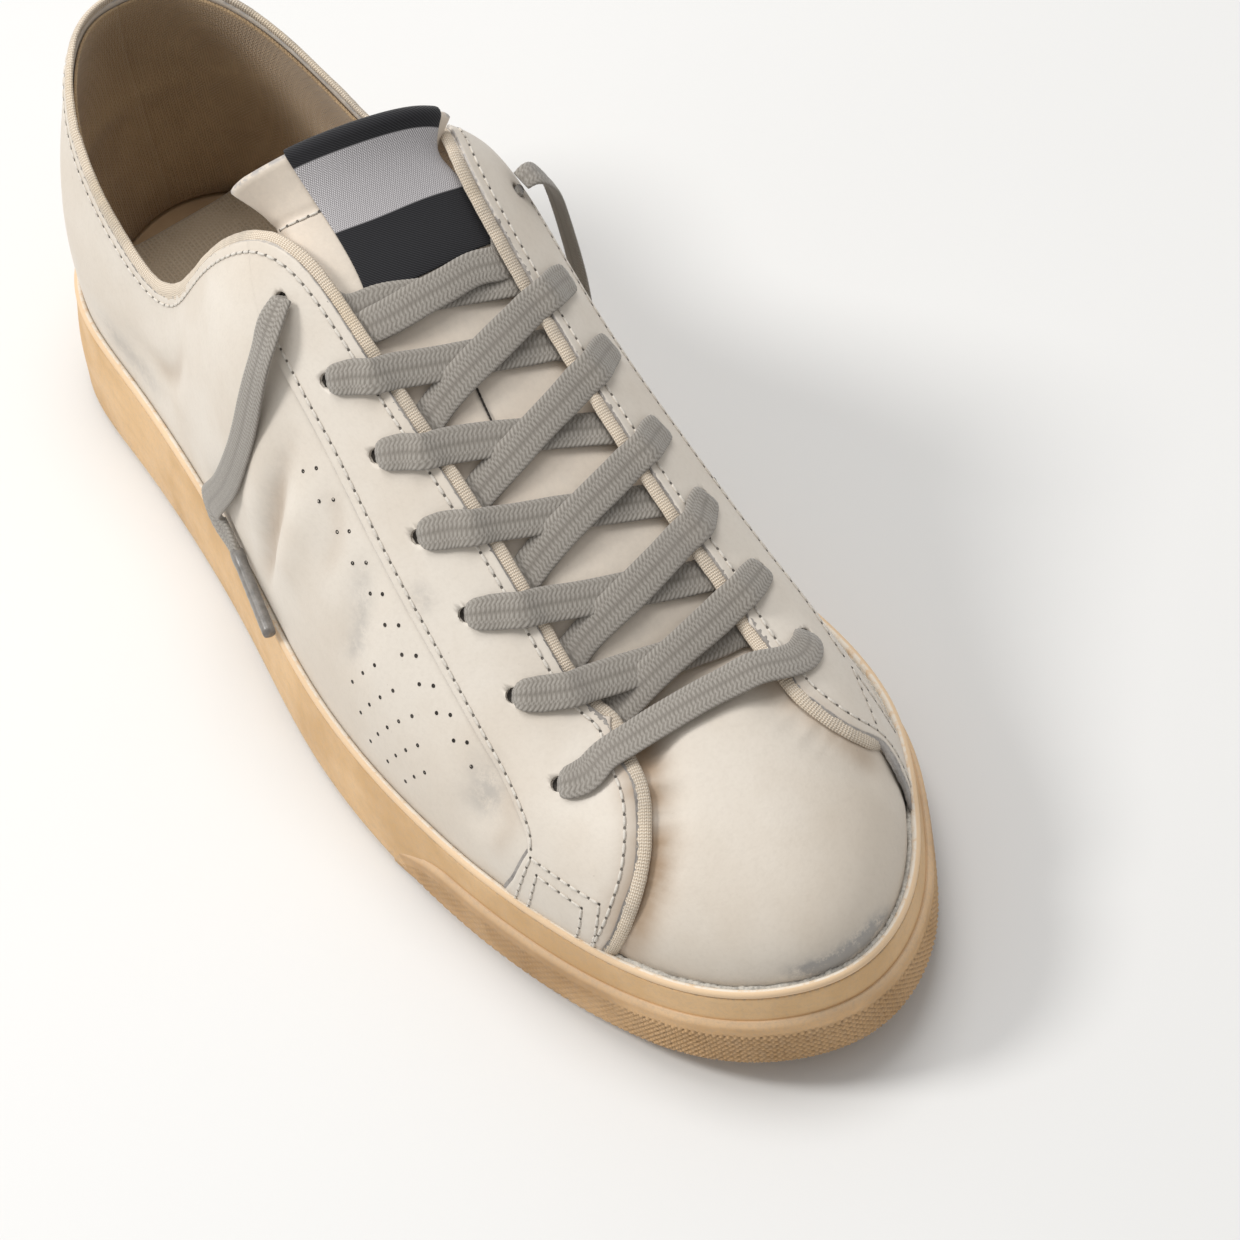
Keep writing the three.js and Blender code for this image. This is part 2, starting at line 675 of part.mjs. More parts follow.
// At the top both strands pass under the flaps and out through the last eyelets.
function topStrand(side, height) {
  const share = (s) => (side < 0 ? s : 1 - s);
  return ribbon([
    overTongue(5.1, 5.1, share(0.2), 1.7),
    overTongue(5.35, 5.35, share(0.4), 1.8 + height),
    overTongue(5.6, 5.6, share(0.6), 1.8 + height),
    overTongue(5.85, 5.85, share(0.8), 1.7),
  ]);
}
place("lace_crossing_6", geometryOfSolid(topStrand(-1, 1.4).add(topStrand(1, 0.6))), cotton);

// The two loose ends come out of the last eyelets and hang down the outside, each with an aglet at its tip.
const LATERAL_END = [
  [124.4, -23.4, 105.4],
  [126.3, -27.2, 104],
  [127.7, -31.2, 99.2],
  [128, -35.6, 90.5],
  [126.5, -39.8, 77.5],
  [121.8, -42.8, 63],
  [115.2, -43.9, 50.8],
  [109, -44.2, 42],
  [105.6, -43.9, 35.8],
  [106.8, -43.6, 31.9],
  [111.5, -44.0, 30.6],
  [117, -45.0, 30.1],
];
const LATERAL_TIP = [137.5, -50.1, 27.4];
const MEDIAL_END = [
  [126.4, 34.6, 102.6],
  [126.2, 37.4, 102.8],
  [125.4, 40.6, 98.6],
  [124.7, 42.6, 90],
  [124.9, 43.6, 78],
  [125.4, 44, 66.8],
  [126.1, 43.6, 56],
  [126.3, 42.8, 45],
  [126.1, 42, 36],
];
const MEDIAL_TIP = [125.8, 41.4, 15];
function looseEnd(name, points, tip, side) {
  const up = [0, side, 0.2];
  const path = points.map((at, i) => {
    const back = points[Math.max(0, i - 1)];
    const on = points[Math.min(points.length - 1, i + 1)];
    const forward = unit(add(on, back, -1));
    const across = unit(cross(forward, i < 2 ? [0.2, side * 0.7, 0.7] : up));
    return { at, up: cross(across, forward) };
  });
  place(name, geometryOfSolid(ribbon(path)), cotton);
  const end = points[points.length - 1];
  const along = unit(add(tip, end, -1));
  const start = add(end, along, GAP);
  const long = Math.hypot(...add(tip, start, -1));
  const rod = new THREE.CylinderGeometry(AGLET_RADIUS * 0.8, AGLET_RADIUS, long, 12);
  const turn = new THREE.Quaternion();
  turn.setFromUnitVectors(new THREE.Vector3(0, 1, 0), new THREE.Vector3(...along));
  rod.applyQuaternion(turn);
  rod.translate(...mix(start, tip, 0.5));
  place(name.replace("lace_end", "aglet"), geometryOfSolid(solidOf(rod)), aglet);
}

// ---- frame ----------------------------------------------------------------------------------------------
// The loose ends of the lace hang free, so they don't count in the shoe's own box.
const box = new THREE.Box3();
for (const mesh of shoe.children) box.expandByObject(mesh);
const centre = box.getCenter(new THREE.Vector3());
shoe.position.set(-centre.x, -centre.y, -box.min.z);
looseEnd("lace_end_lateral", LATERAL_END, LATERAL_TIP, -1);
looseEnd("lace_end_medial", MEDIAL_END, MEDIAL_TIP, 1);

const part = new THREE.Group();
part.add(shoe);
export default part;
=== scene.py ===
import json
import math

import bpy
import bmesh
import numpy as np
from mathutils import Matrix, Vector

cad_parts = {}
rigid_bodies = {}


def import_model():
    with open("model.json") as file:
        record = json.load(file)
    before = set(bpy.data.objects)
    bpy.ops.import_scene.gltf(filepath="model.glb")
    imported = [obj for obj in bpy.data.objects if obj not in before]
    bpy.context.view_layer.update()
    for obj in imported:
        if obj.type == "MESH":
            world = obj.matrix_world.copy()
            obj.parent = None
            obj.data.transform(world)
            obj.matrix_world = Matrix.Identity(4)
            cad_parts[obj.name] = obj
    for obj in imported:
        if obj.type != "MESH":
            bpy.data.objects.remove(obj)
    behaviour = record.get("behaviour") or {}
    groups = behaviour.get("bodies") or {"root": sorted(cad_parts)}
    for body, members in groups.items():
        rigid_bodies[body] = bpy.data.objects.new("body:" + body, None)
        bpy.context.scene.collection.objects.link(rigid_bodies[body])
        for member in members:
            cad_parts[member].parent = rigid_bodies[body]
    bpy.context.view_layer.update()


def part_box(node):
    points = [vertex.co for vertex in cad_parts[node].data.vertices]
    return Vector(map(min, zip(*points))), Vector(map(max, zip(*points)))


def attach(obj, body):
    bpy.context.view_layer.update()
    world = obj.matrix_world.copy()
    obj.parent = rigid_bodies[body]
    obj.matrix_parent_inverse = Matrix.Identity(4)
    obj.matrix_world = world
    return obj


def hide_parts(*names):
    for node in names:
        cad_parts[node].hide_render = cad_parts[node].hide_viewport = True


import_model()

# The looks of a worn right sneaker. Everything is worked out in the shoe's own millimetres: x from the heel
# (0) to the toe, +y medial, -y lateral, z up. place() turns them into the frame's metres.

# ---- driving dimensions, as in the part's source -------------------------------------------------------
HEEL_POINT = (0, 1)
TOE_POINT = (292.9, -1.8)
OUTLINE = [  # the sole at the ground: x, lateral y, medial y
    (20, -33.3, 30.9), (55, -40.2, 36.9), (110, -45.9, 34.9), (155, -53.3, 40.8),
    (200, -53.1, 48.6), (235, -47.3, 47.6), (262, -38.6, 35.9), (283, -24.4, 20.0),
]
SPRING_START, SPRING_RISE, SPRING_RUN = 205, 9, 95
BAND_LEAN, BAND_INSIDE, GAP = 2.1, 4.6, 0.3
BUMPER_THICK, BUMPER_HIGH, BUMPER_TAPER = 1.8, 14.6, 22
BUMPER_START = {-1: 186, 1: 214}
WALL = 2
UNDER_FLAP = 2.7
TONGUE_THICK, TONGUE_CROWN, TONGUE_TUCK = 2.6, 1.6, 0.24
EYELET_RADIUS = 1.7
LACE_WIDE, LACE_THICK = 7.8, 1.3  # only these differ from the part's source: the lace that is seen is flatter
UPRIGHT = 0.12
# Ribs of the last: side, x on the outline, end x y z, pull x y z, rise, bulge.
RIBS = [
    (-1, 0, 6, 0.5, 86, -5, 0, -24, 26, 2.5),
    (-1, 20, 17, -18, 84, -2, -6, -24, 26, 1.5),
    (-1, 38, 34, -26.5, 74, 0, -5, -20, 20, 1),
    (-1, 55, 56, -29.5, 65, 0, -4, -16, 16, 0.5),
    (-1, 80, 78, -28.5, 70, 0, -6, -18, 18, 0.5),
    (-1, 100, 94, -24.2, 93, 0, -12, -22, 24, 1),
    (-1, 112, 107, -20.5, 106, 0, -16, -20, 28, 1),
    (-1, 126, 119, -16.8, 109.5, 0, -19, -15, 32, 1),
    (-1, 150, 142, -15.5, 98.7, 0, -21, -13, 32, 1),
    (-1, 180, 174, -15.2, 81, 0, -21, -11, 26, 1),
    (-1, 205, 200, -16, 65.8, 2, -21, -9, 19, 1),
    (-1, 226, 216, -16.6, 56, 6, -21, -6, 15, 1),
    (-1, 244, 223, -13.5, 53.8, 13, -20, -5, 13, 1),
    (-1, 262, 222.5, -8.5, 56, 24, -17, -5, 13, 1),
    (-1, 281, 221.5, -3, 57.9, 36, -9, -6, 14, 1),
    (0, 293, 221, 3, 58.5, 41, -4, -7, 15, 1),
    (1, 281, 221.5, 8.5, 58.6, 36, 4, -7, 14, 1),
    (1, 262, 222.5, 14, 57.3, 26, 12.5, -6, 13, 0),
    (1, 246, 224, 19.6, 55.5, 14, 15, -5.5, 13, -4),
    (1, 230, 219, 22.6, 57.6, 5, 17, -6.5, 15, -6),
    (1, 205, 202, 22.2, 66.6, 1, 17.5, -9.5, 21, -4.5),
    (1, 180, 177, 21.7, 79.8, 0, 19, -12.5, 28, -2),
    (1, 150, 145, 22.6, 97.5, 0, 21.5, -16.5, 34, 1),
    (1, 128, 122, 24.6, 110.8, 0, 22.5, -18.5, 34, 3.5),
    (1, 114, 110, 27.6, 109, 0, 21, -21, 30, 4.5),
    (1, 100, 96, 29.8, 96.5, 0, 18, -22, 25, 5),
    (1, 80, 78, 32.5, 73, 0, 4, -18, 19, 0.5),
    (1, 55, 56, 32, 67, 0, 3, -16, 16, 0.5),
    (1, 38, 34, 28, 75, 0, 4, -20, 20, 1),
    (1, 20, 17, 19, 84, -2, 6, -24, 26, 1.5),
]
# Eyelets from the toe to the ankle: x of their rib on the outline, and how far up it they are.
EYELETS = {
    -1: [(234.9, 0.762), (211.8, 0.84), (194.4, 0.844), (178.9, 0.851), (163.8, 0.881), (147.8, 0.881),
         (130.4, 0.905)],
    1: [(238.4, 0.786), (216.1, 0.837), (196.6, 0.857), (181, 0.851), (163, 0.844), (149.5, 0.861),
        (132.1, 0.865)],
}
# The loose ends of the lace, from the last eyelets down to their tips.
LATERAL_END = [
    (124.4, -23.4, 105.4), (126.3, -27.2, 104), (127.7, -31.2, 99.2), (128, -35.6, 90.5),
    (126.5, -39.8, 77.5), (121.8, -42.8, 63), (115.2, -43.9, 50.8), (109, -44.2, 42),
    (105.6, -43.9, 35.8), (106.8, -43.6, 31.9), (111.5, -44.0, 30.6), (117, -45.0, 30.1),
]
LATERAL_TIP = (137.5, -50.1, 27.4)
MEDIAL_END = [
    (126.4, 34.6, 102.6), (126.2, 37.4, 102.8), (125.4, 40.6, 98.6), (124.7, 42.6, 90),
    (124.9, 43.6, 78), (125.4, 44, 66.8), (126.1, 43.6, 56), (126.3, 42.8, 45), (126.1, 42, 36),
]
MEDIAL_TIP = (125.8, 41.4, 15)


# ---- curves --------------------------------------------------------------------------------------------
def ease(x):
    s = np.clip(x, 0, 1)
    return s * s * (3 - 2 * s)


def unit(a):
    a = np.asarray(a, float)
    return a / np.maximum(np.linalg.norm(a, axis=-1, keepdims=True), 1e-9)


def loop_spline(knots, rows):
    """A closed cubic spline through rows of numbers, smooth to the second derivative."""
    k, v = np.array(knots, float), np.array(rows, float)
    n = len(v)
    h = np.diff(k)
    d = (np.roll(v, -1, 0) - v) / h[:, None]
    a, b = np.zeros((n, n)), np.zeros_like(v)
    for i in range(n):
        before, on = 1 / h[i - 1], 1 / h[i]
        a[i, i - 1] += before
        a[i, i] += 2 * (before + on)
        a[i, (i + 1) % n] += on
        b[i] = 3 * (d[i - 1] * before + d[i] * on)
    slope = np.linalg.solve(a, b)

    def at(t):
        t = np.mod(np.asarray(t, float) - k[0], k[-1] - k[0]) + k[0]
        i = np.clip(np.searchsorted(k, t, side="right") - 1, 0, n - 1)
        s = ((t - k[i]) / h[i])[..., None]
        step = h[i][..., None]
        j = (i + 1) % n
        return ((2 * s**3 - 3 * s**2 + 1) * v[i] + (s**3 - 2 * s**2 + s) * step * slope[i]
                + (3 * s**2 - 2 * s**3) * v[j] + (s**3 - s**2) * step * slope[j])

    return at


def open_spline(points, count):
    """An open curve through points, as count places spread evenly along it."""
    p = np.array(points, float)
    k = np.r_[0, np.cumsum(np.sqrt(np.linalg.norm(np.diff(p, axis=0), axis=1)) + 1e-9)]
    n = len(p)
    h = np.diff(k)
    d = np.diff(p, axis=0) / h[:, None]
    a, b = np.eye(n), np.zeros_like(p)
    for i in range(1, n - 1):
        a[i, i - 1], a[i, i], a[i, i + 1] = 1 / h[i - 1], 2 * (1 / h[i - 1] + 1 / h[i]), 1 / h[i]
        b[i] = 3 * (d[i - 1] / h[i - 1] + d[i] / h[i])
    a[0, 1], b[0] = 0.5, 1.5 * d[0]
    a[-1, -2], b[-1] = 0.5, 1.5 * d[-1]
    slope = np.linalg.solve(a, b)

    def at(t):
        i = np.clip(np.searchsorted(k, t, side="right") - 1, 0, n - 2)
        s = ((t - k[i]) / h[i])[:, None]
        step = h[i][:, None]
        return ((2 * s**3 - 3 * s**2 + 1) * p[i] + (s**3 - 2 * s**2 + s) * step * slope[i]
                + (3 * s**2 - 2 * s**3) * p[i + 1] + (s**3 - s**2) * step * slope[i + 1])

    fine = np.linspace(0, k[-1], 40 * n)
    length = along_path(at(fine)[:, :3])
    return at(np.interp(np.linspace(0, length[-1], count), length, fine))


def along_path(path):
    """The length of a path up to each of its points."""
    return np.r_[0, np.cumsum(np.linalg.norm(np.diff(path, axis=0), axis=1))]


def length_of(path):
    return np.linalg.norm(np.diff(np.asarray(path)[:, :3], axis=0), axis=1).sum()


# ---- the last ------------------------------------------------------------------------------------------
_ring = [HEEL_POINT] + [(x, l) for x, l, m in OUTLINE] + [TOE_POINT] + [(x, m) for x, l, m in OUTLINE[::-1]]
_steps = np.linalg.norm(np.roll(_ring, -1, 0) - np.array(_ring), axis=1) ** 0.5
_knots = np.r_[0, np.cumsum(_steps)]
AT_TOE, AT_END = _knots[len(OUTLINE) + 1], _knots[-1]
outline = loop_spline(_knots, _ring)


def outward(t):
    d = outline(np.asarray(t) + 1e-3) - outline(np.asarray(t) - 1e-3)
    return unit(np.stack([d[..., 1], -d[..., 0]], -1))


def station(side, x):
    """The place on the outline where it passes x on one side. Beyond the toe (x > 290) it is the toe."""
    if side == 0 or x >= TOE_POINT[0]:
        return AT_TOE
    low, high = (0, AT_TOE) if side < 0 else (AT_END, AT_TOE)
    for _ in range(50):
        middle = (low + high) / 2
        if outline(middle)[0] < x:
            low = middle
        else:
            high = middle
    return (low + high) / 2


def spring(x):
    return np.where(x > SPRING_START, SPRING_RISE * ((x - SPRING_START) / SPRING_RUN) ** 2, 0.0)


def band_top(x):
    return 24.2 + spring(x) + 7.5 * np.clip((180 - x) / 180, 0, 1) ** 1.5


def sole_top(x):
    return 12 + 5 * ease((150 - x) / 110) + spring(x)


rib_stations = [0 if rib[1] == 0 else station(rib[0], rib[1]) for rib in RIBS]
rib_at = loop_spline(rib_stations + [AT_END], [rib[2:] for rib in RIBS])


def outer(t, v):
    """Points of the upper's outer face: t round the outline, v up the rib."""
    t, v = np.broadcast_arrays(np.asarray(t, float), np.asarray(v, float))
    foot, out, rib = outline(t), outward(t), rib_at(t)
    inset = BAND_INSIDE + GAP
    xy = foot - out * inset
    low, high = sole_top(foot[..., 0]) + GAP, band_top(foot[..., 0]) - 1.5
    s = np.clip((v - UPRIGHT) / (1 - UPRIGHT), 0, 1)[..., None]
    a = np.concatenate([xy, high[..., None]], -1)
    rise, bulge = rib[..., 6], rib[..., 7:8]
    b = a + np.concatenate([out * bulge, rise[..., None]], -1)
    d = rib[..., 0:3]
    c = d + rib[..., 3:6]
    p = (1 - s)**3 * a + 3 * (1 - s)**2 * s * b + 3 * (1 - s) * s**2 * c + s**3 * d
    wall = low + (high - low) * np.clip(v / UPRIGHT, 0, 1)
    p[..., 2] = np.where(v < UPRIGHT, wall, p[..., 2])
    return p


def normal(t, v):
    t, v = np.broadcast_arrays(np.asarray(t, float), np.asarray(v, float))
    e = 0.004
    along = outer(t + e, v) - outer(t - e, v)
    up = outer(t, np.minimum(1, v + e)) - outer(t, np.maximum(0, v - e))
    return unit(np.cross(along, up))


def lifted(t, v, height):
    return outer(t, v) + normal(t, v) * np.asarray(height, float)[..., None]


# ---- the frame -----------------------------------------------------------------------------------------
_fine = outline(np.linspace(0, AT_END, 4000))
SHIFT = np.array([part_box("foxing")[0][0] * 1000 - _fine[:, 0].min(),
                  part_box("foxing")[0][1] * 1000 - _fine[:, 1].min(), 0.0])


def place(points):
    return (np.asarray(points, float) + SHIFT) / 1000


def metres(point):
    return tuple(float(c) for c in place(point))


# ---- creases, troughs, dirt and painted shade, as places on the last -------------------------------------
# Each crease: points (side, x on the outline, v), depth in mm (below 0 is a ridge), half width in mm.
CREASES = [
    # the long soft fold of the lateral quarter, with a ridge on each side of it
    ([(-1, 146, 0.78), (-1, 144.5, 0.644), (-1, 142, 0.504), (-1, 137, 0.371), (-1, 128, 0.20)], 2.3, 3.4),
    ([(-1, 153.5, 0.74), (-1, 152, 0.62), (-1, 149, 0.48), (-1, 144, 0.34)], -1.3, 5.0),
    ([(-1, 138, 0.74), (-1, 136, 0.62), (-1, 133, 0.48), (-1, 127, 0.36)], -1.1, 4.6),
    ([(-1, 158, 0.70), (-1, 163, 0.62), (-1, 160, 0.54)], 0.6, 3.2),
    # the eyestay is pulled down below the third eyelet
    ([(-1, 171, 0.66), (-1, 174, 0.54), (-1, 172, 0.38)], 0.9, 5.0),
    ([(-1, 212, 0.60), (-1, 219, 0.52), (-1, 212, 0.36)], 1.1, 5.5),
    # the vamp dips behind the quarters' front edges
    ([(-1, 262, 0.95), (-1, 272, 0.82), (-1, 269.5, 0.66), (-1, 264, 0.45), (-1, 258, 0.26)], 1.9, 5.0),
    ([(1, 268, 0.93), (1, 273, 0.74), (1, 271, 0.55), (1, 266, 0.42)], 1.3, 5.0),
    ([(-1, 284, 0.97), (0, 293, 0.95), (1, 284, 0.97)], 1.5, 6.5),
    # bending creases across the ball, medial side
    ([(1, 206, 0.62), (1, 209, 0.42), (1, 208, 0.22)], 1.2, 3.2),
    ([(1, 194, 0.60), (1, 198, 0.40), (1, 199, 0.22)], 0.9, 3.0),
    ([(1, 219, 0.58), (1, 221, 0.40), (1, 219, 0.22)], 0.8, 3.0),
    ([(1, 147, 0.72), (1, 141, 0.56), (1, 130, 0.38), (1, 121, 0.24)], 1.6, 4.5),
    ([(1, 158, 0.60), (1, 150, 0.44), (1, 141, 0.30)], 0.7, 4.0),
    # the ankle sags a little over the heel
    ([(-1, 92, 0.80), (-1, 82, 0.62), (-1, 66, 0.50), (-1, 50, 0.46)], 1.5, 4.5),
    ([(-1, 84, 0.42), (-1, 66, 0.32), (-1, 48, 0.30)], 0.9, 4.0),
    ([(1, 92, 0.80), (1, 82, 0.62), (1, 66, 0.50), (1, 50, 0.46)], 1.5, 4.5),
    ([(1, 84, 0.42), (1, 66, 0.32), (1, 48, 0.30)], 0.9, 4.0),
    ([(-1, 24, 0.52), (-1, 8, 0.47), (-1, 0, 0.46), (1, 8, 0.47), (1, 24, 0.52)], 0.8, 3.5),
]
# Dirt: points as above, strength, half width in mm.
SMUDGES = [
    ([(-1, 170, 0.67), (-1, 173, 0.58), (-1, 174.3, 0.50), (-1, 171, 0.40)], 0.42, 2.6),
    ([(-1, 213, 0.57), (-1, 218, 0.53), (-1, 214, 0.46)], 0.50, 4.2),
    ([(-1, 184, 0.765), (-1, 188, 0.765)], 0.35, 2.4),
    ([(-1, 287, 0.175), (-1, 291.7, 0.155), (0, 293, 0.168), (1, 290.2, 0.163), (1, 286, 0.11)], 2.2, 2.2),
    ([(-1, 284, 0.12), (-1, 279, 0.105), (-1, 270, 0.12), (-1, 258, 0.155)], 0.55, 1.1),
    ([(-1, 145, 0.76), (-1, 143, 0.64), (-1, 139, 0.48), (-1, 133, 0.33)], 0.22, 2.6),
    ([(1, 208, 0.60), (1, 209, 0.42), (1, 207, 0.25)], 0.35, 2.5),
    ([(1, 196, 0.58), (1, 198, 0.40)], 0.25, 2.0),
    ([(1, 60, 0.30), (1, 75, 0.34), (1, 92, 0.30)], 0.45, 4.0),
    ([(-1, 40, 0.34), (-1, 55, 0.30), (-1, 72, 0.34)], 0.40, 4.0),
    ([(-1, 6, 0.72), (-1, 0, 0.66), (1, 6, 0.60)], 0.5, 4.5),
    ([(-1, 12, 0.25), (-1, 0, 0.27), (1, 12, 0.24)], 0.6, 3.5),
]


# Painted warm shade in the dips and beside the quarters' front edges, where shadow falls: points, strength,
# half width in mm.
SHADES = [
    ([(-1, 256, 1.0), (-1, 267, 0.85), (-1, 268.6, 0.68), (-1, 263.4, 0.45), (-1, 257.5, 0.20),
      (-1, 252, 0.03)], 1.0, 5.2),
    ([(1, 262, 1.0), (1, 267, 0.80), (1, 267, 0.62), (1, 263, 0.45)], 0.50, 3.6),
    ([(-1, 146.5, 0.80), (-1, 144.5, 0.66), (-1, 141.6, 0.504), (-1, 136.5, 0.371),
      (-1, 127.5, 0.18)], 0.60, 2.4),
    ([(-1, 158, 0.72), (-1, 163, 0.62), (-1, 160, 0.50)], 0.22, 2.4),
    ([(-1, 222, 0.60), (-1, 226, 0.50), (-1, 222, 0.30)], 0.25, 3.0),
    ([(-1, 266, 1.0), (0, 293, 1.0), (1, 266, 1.0)], 0.50, 4.0),
    ([(-1, 92, 0.80), (-1, 82, 0.62), (-1, 66, 0.50)], 0.35, 2.6),
    ([(1, 147, 0.72), (1, 141, 0.56), (1, 130, 0.38)], 0.45, 2.6),
    ([(1, 206, 0.62), (1, 209, 0.42), (1, 208, 0.22)], 0.45, 2.0),
]


def path_on_last(points, count):
    rows = [[AT_TOE if side == 0 else station(side, x), v] for side, x, v in points]
    for i, row in enumerate(rows):  # a path over the heel runs past the end of the loop
        if i and row[0] - rows[i - 1][0] < -AT_END / 2:
            row[0] += AT_END
        elif i and row[0] - rows[i - 1][0] > AT_END / 2:
            row[0] -= AT_END
    smooth = open_spline(rows, count)
    return smooth[:, 0], np.clip(smooth[:, 1], 0, 1)


def near_line(points, line, half_width, taper=True):
    """1 on a line and 0 away from it, fading out at its ends."""
    shape = points.shape[:-1]
    flat = points.reshape(-1, 3)
    best = np.zeros(len(flat))
    low, high = line.min(0) - 3 * half_width, line.max(0) + 3 * half_width
    close = np.all((flat > low) & (flat < high), axis=1)
    ends = np.ones(len(line))
    if taper:
        ends = ease(np.minimum(np.arange(len(line)), np.arange(len(line))[::-1]) / (0.3 * len(line)))
    part = flat[close]
    found = np.zeros(len(part))
    for p, share in zip(line, ends):
        found = np.maximum(found, share * np.exp(-((part - p) ** 2).sum(1) / half_width**2))
    best[close] = found
    return best.reshape(shape)


CREASE_LINES = [(outer(*path_on_last(points, 30)), depth, width) for points, depth, width in CREASES]
SMUDGE_LINES = [(outer(*path_on_last(points, 26)), amount, width) for points, amount, width in SMUDGES]
SHADE_LINES = [(outer(*path_on_last(points, 30)), amount, width) for points, amount, width in SHADES]


def creased(points):
    """How far the leather is pushed in at each point."""
    return -sum(depth * near_line(points, line, width) for line, depth, width in CREASE_LINES)


def grime(points, t):
    """Dirt: the listed smudges, and a grey line where the leather meets the rubber."""
    dirt = np.zeros(points.shape[:-1])
    for line, amount, width in SMUDGE_LINES:
        dirt = np.maximum(dirt, amount * near_line(points, line, width))
    above = points[..., 2] - band_top(outline(t)[..., 0])
    return np.maximum(dirt, 0.12 * np.exp(-((np.maximum(above, 0) / 1.3) ** 2)))


# Each point's share of painted warm shade from the SHADES lines.
def painted_shade_at(points):
    return np.max([amount * near_line(points, line, width) for line, amount, width in SHADE_LINES], axis=0)


# ---- mesh helpers --------------------------------------------------------------------------------------
def grid_faces(rows, columns, closed_rows=False, closed_columns=False):
    i = np.arange(rows if closed_rows else rows - 1)[:, None]
    j = np.arange(columns if closed_columns else columns - 1)[None, :]
    a = i * columns + j
    b = i * columns + (j + 1) % columns
    c = ((i + 1) % rows) * columns + (j + 1) % columns
    d = ((i + 1) % rows) * columns + j
    return np.stack([a, b, c, d], -1).reshape(-1, 4)


def piece(name, points, faces, material, uv=None, values=None, inside=None):
    """A mesh from points in mm and faces. values are named numbers on its points for the material, and
    inside is a second material with the faces it covers."""
    mesh = bpy.data.meshes.new(name)
    mesh.from_pydata(place(points).tolist(), [], [tuple(f) for f in faces])
    mesh.materials.append(material)
    if inside:
        mesh.materials.append(inside[0])
        mesh.polygons.foreach_set("material_index", np.asarray(inside[1], dtype=np.int32))
    mesh.polygons.foreach_set("use_smooth", np.ones(len(mesh.polygons), bool))
    loops = np.empty(len(mesh.loops), dtype=np.int32)
    mesh.loops.foreach_get("vertex_index", loops)
    if uv is not None:
        layer = mesh.uv_layers.new(name="weave")
        layer.data.foreach_set("uv", np.asarray(uv, float)[loops].ravel())
    for key, data in (values or {}).items():
        layer = mesh.attributes.new(name=key, type="FLOAT", domain="POINT")
        layer.data.foreach_set("value", np.asarray(data, dtype=np.float32).ravel())
    bm = bmesh.new()
    bm.from_mesh(mesh)
    bmesh.ops.recalc_face_normals(bm, faces=bm.faces)
    bm.to_mesh(mesh)
    bm.free()
    mesh.update()
    thing = bpy.data.objects.new(name, mesh)
    bpy.context.scene.collection.objects.link(thing)
    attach(thing, "root")
    return thing


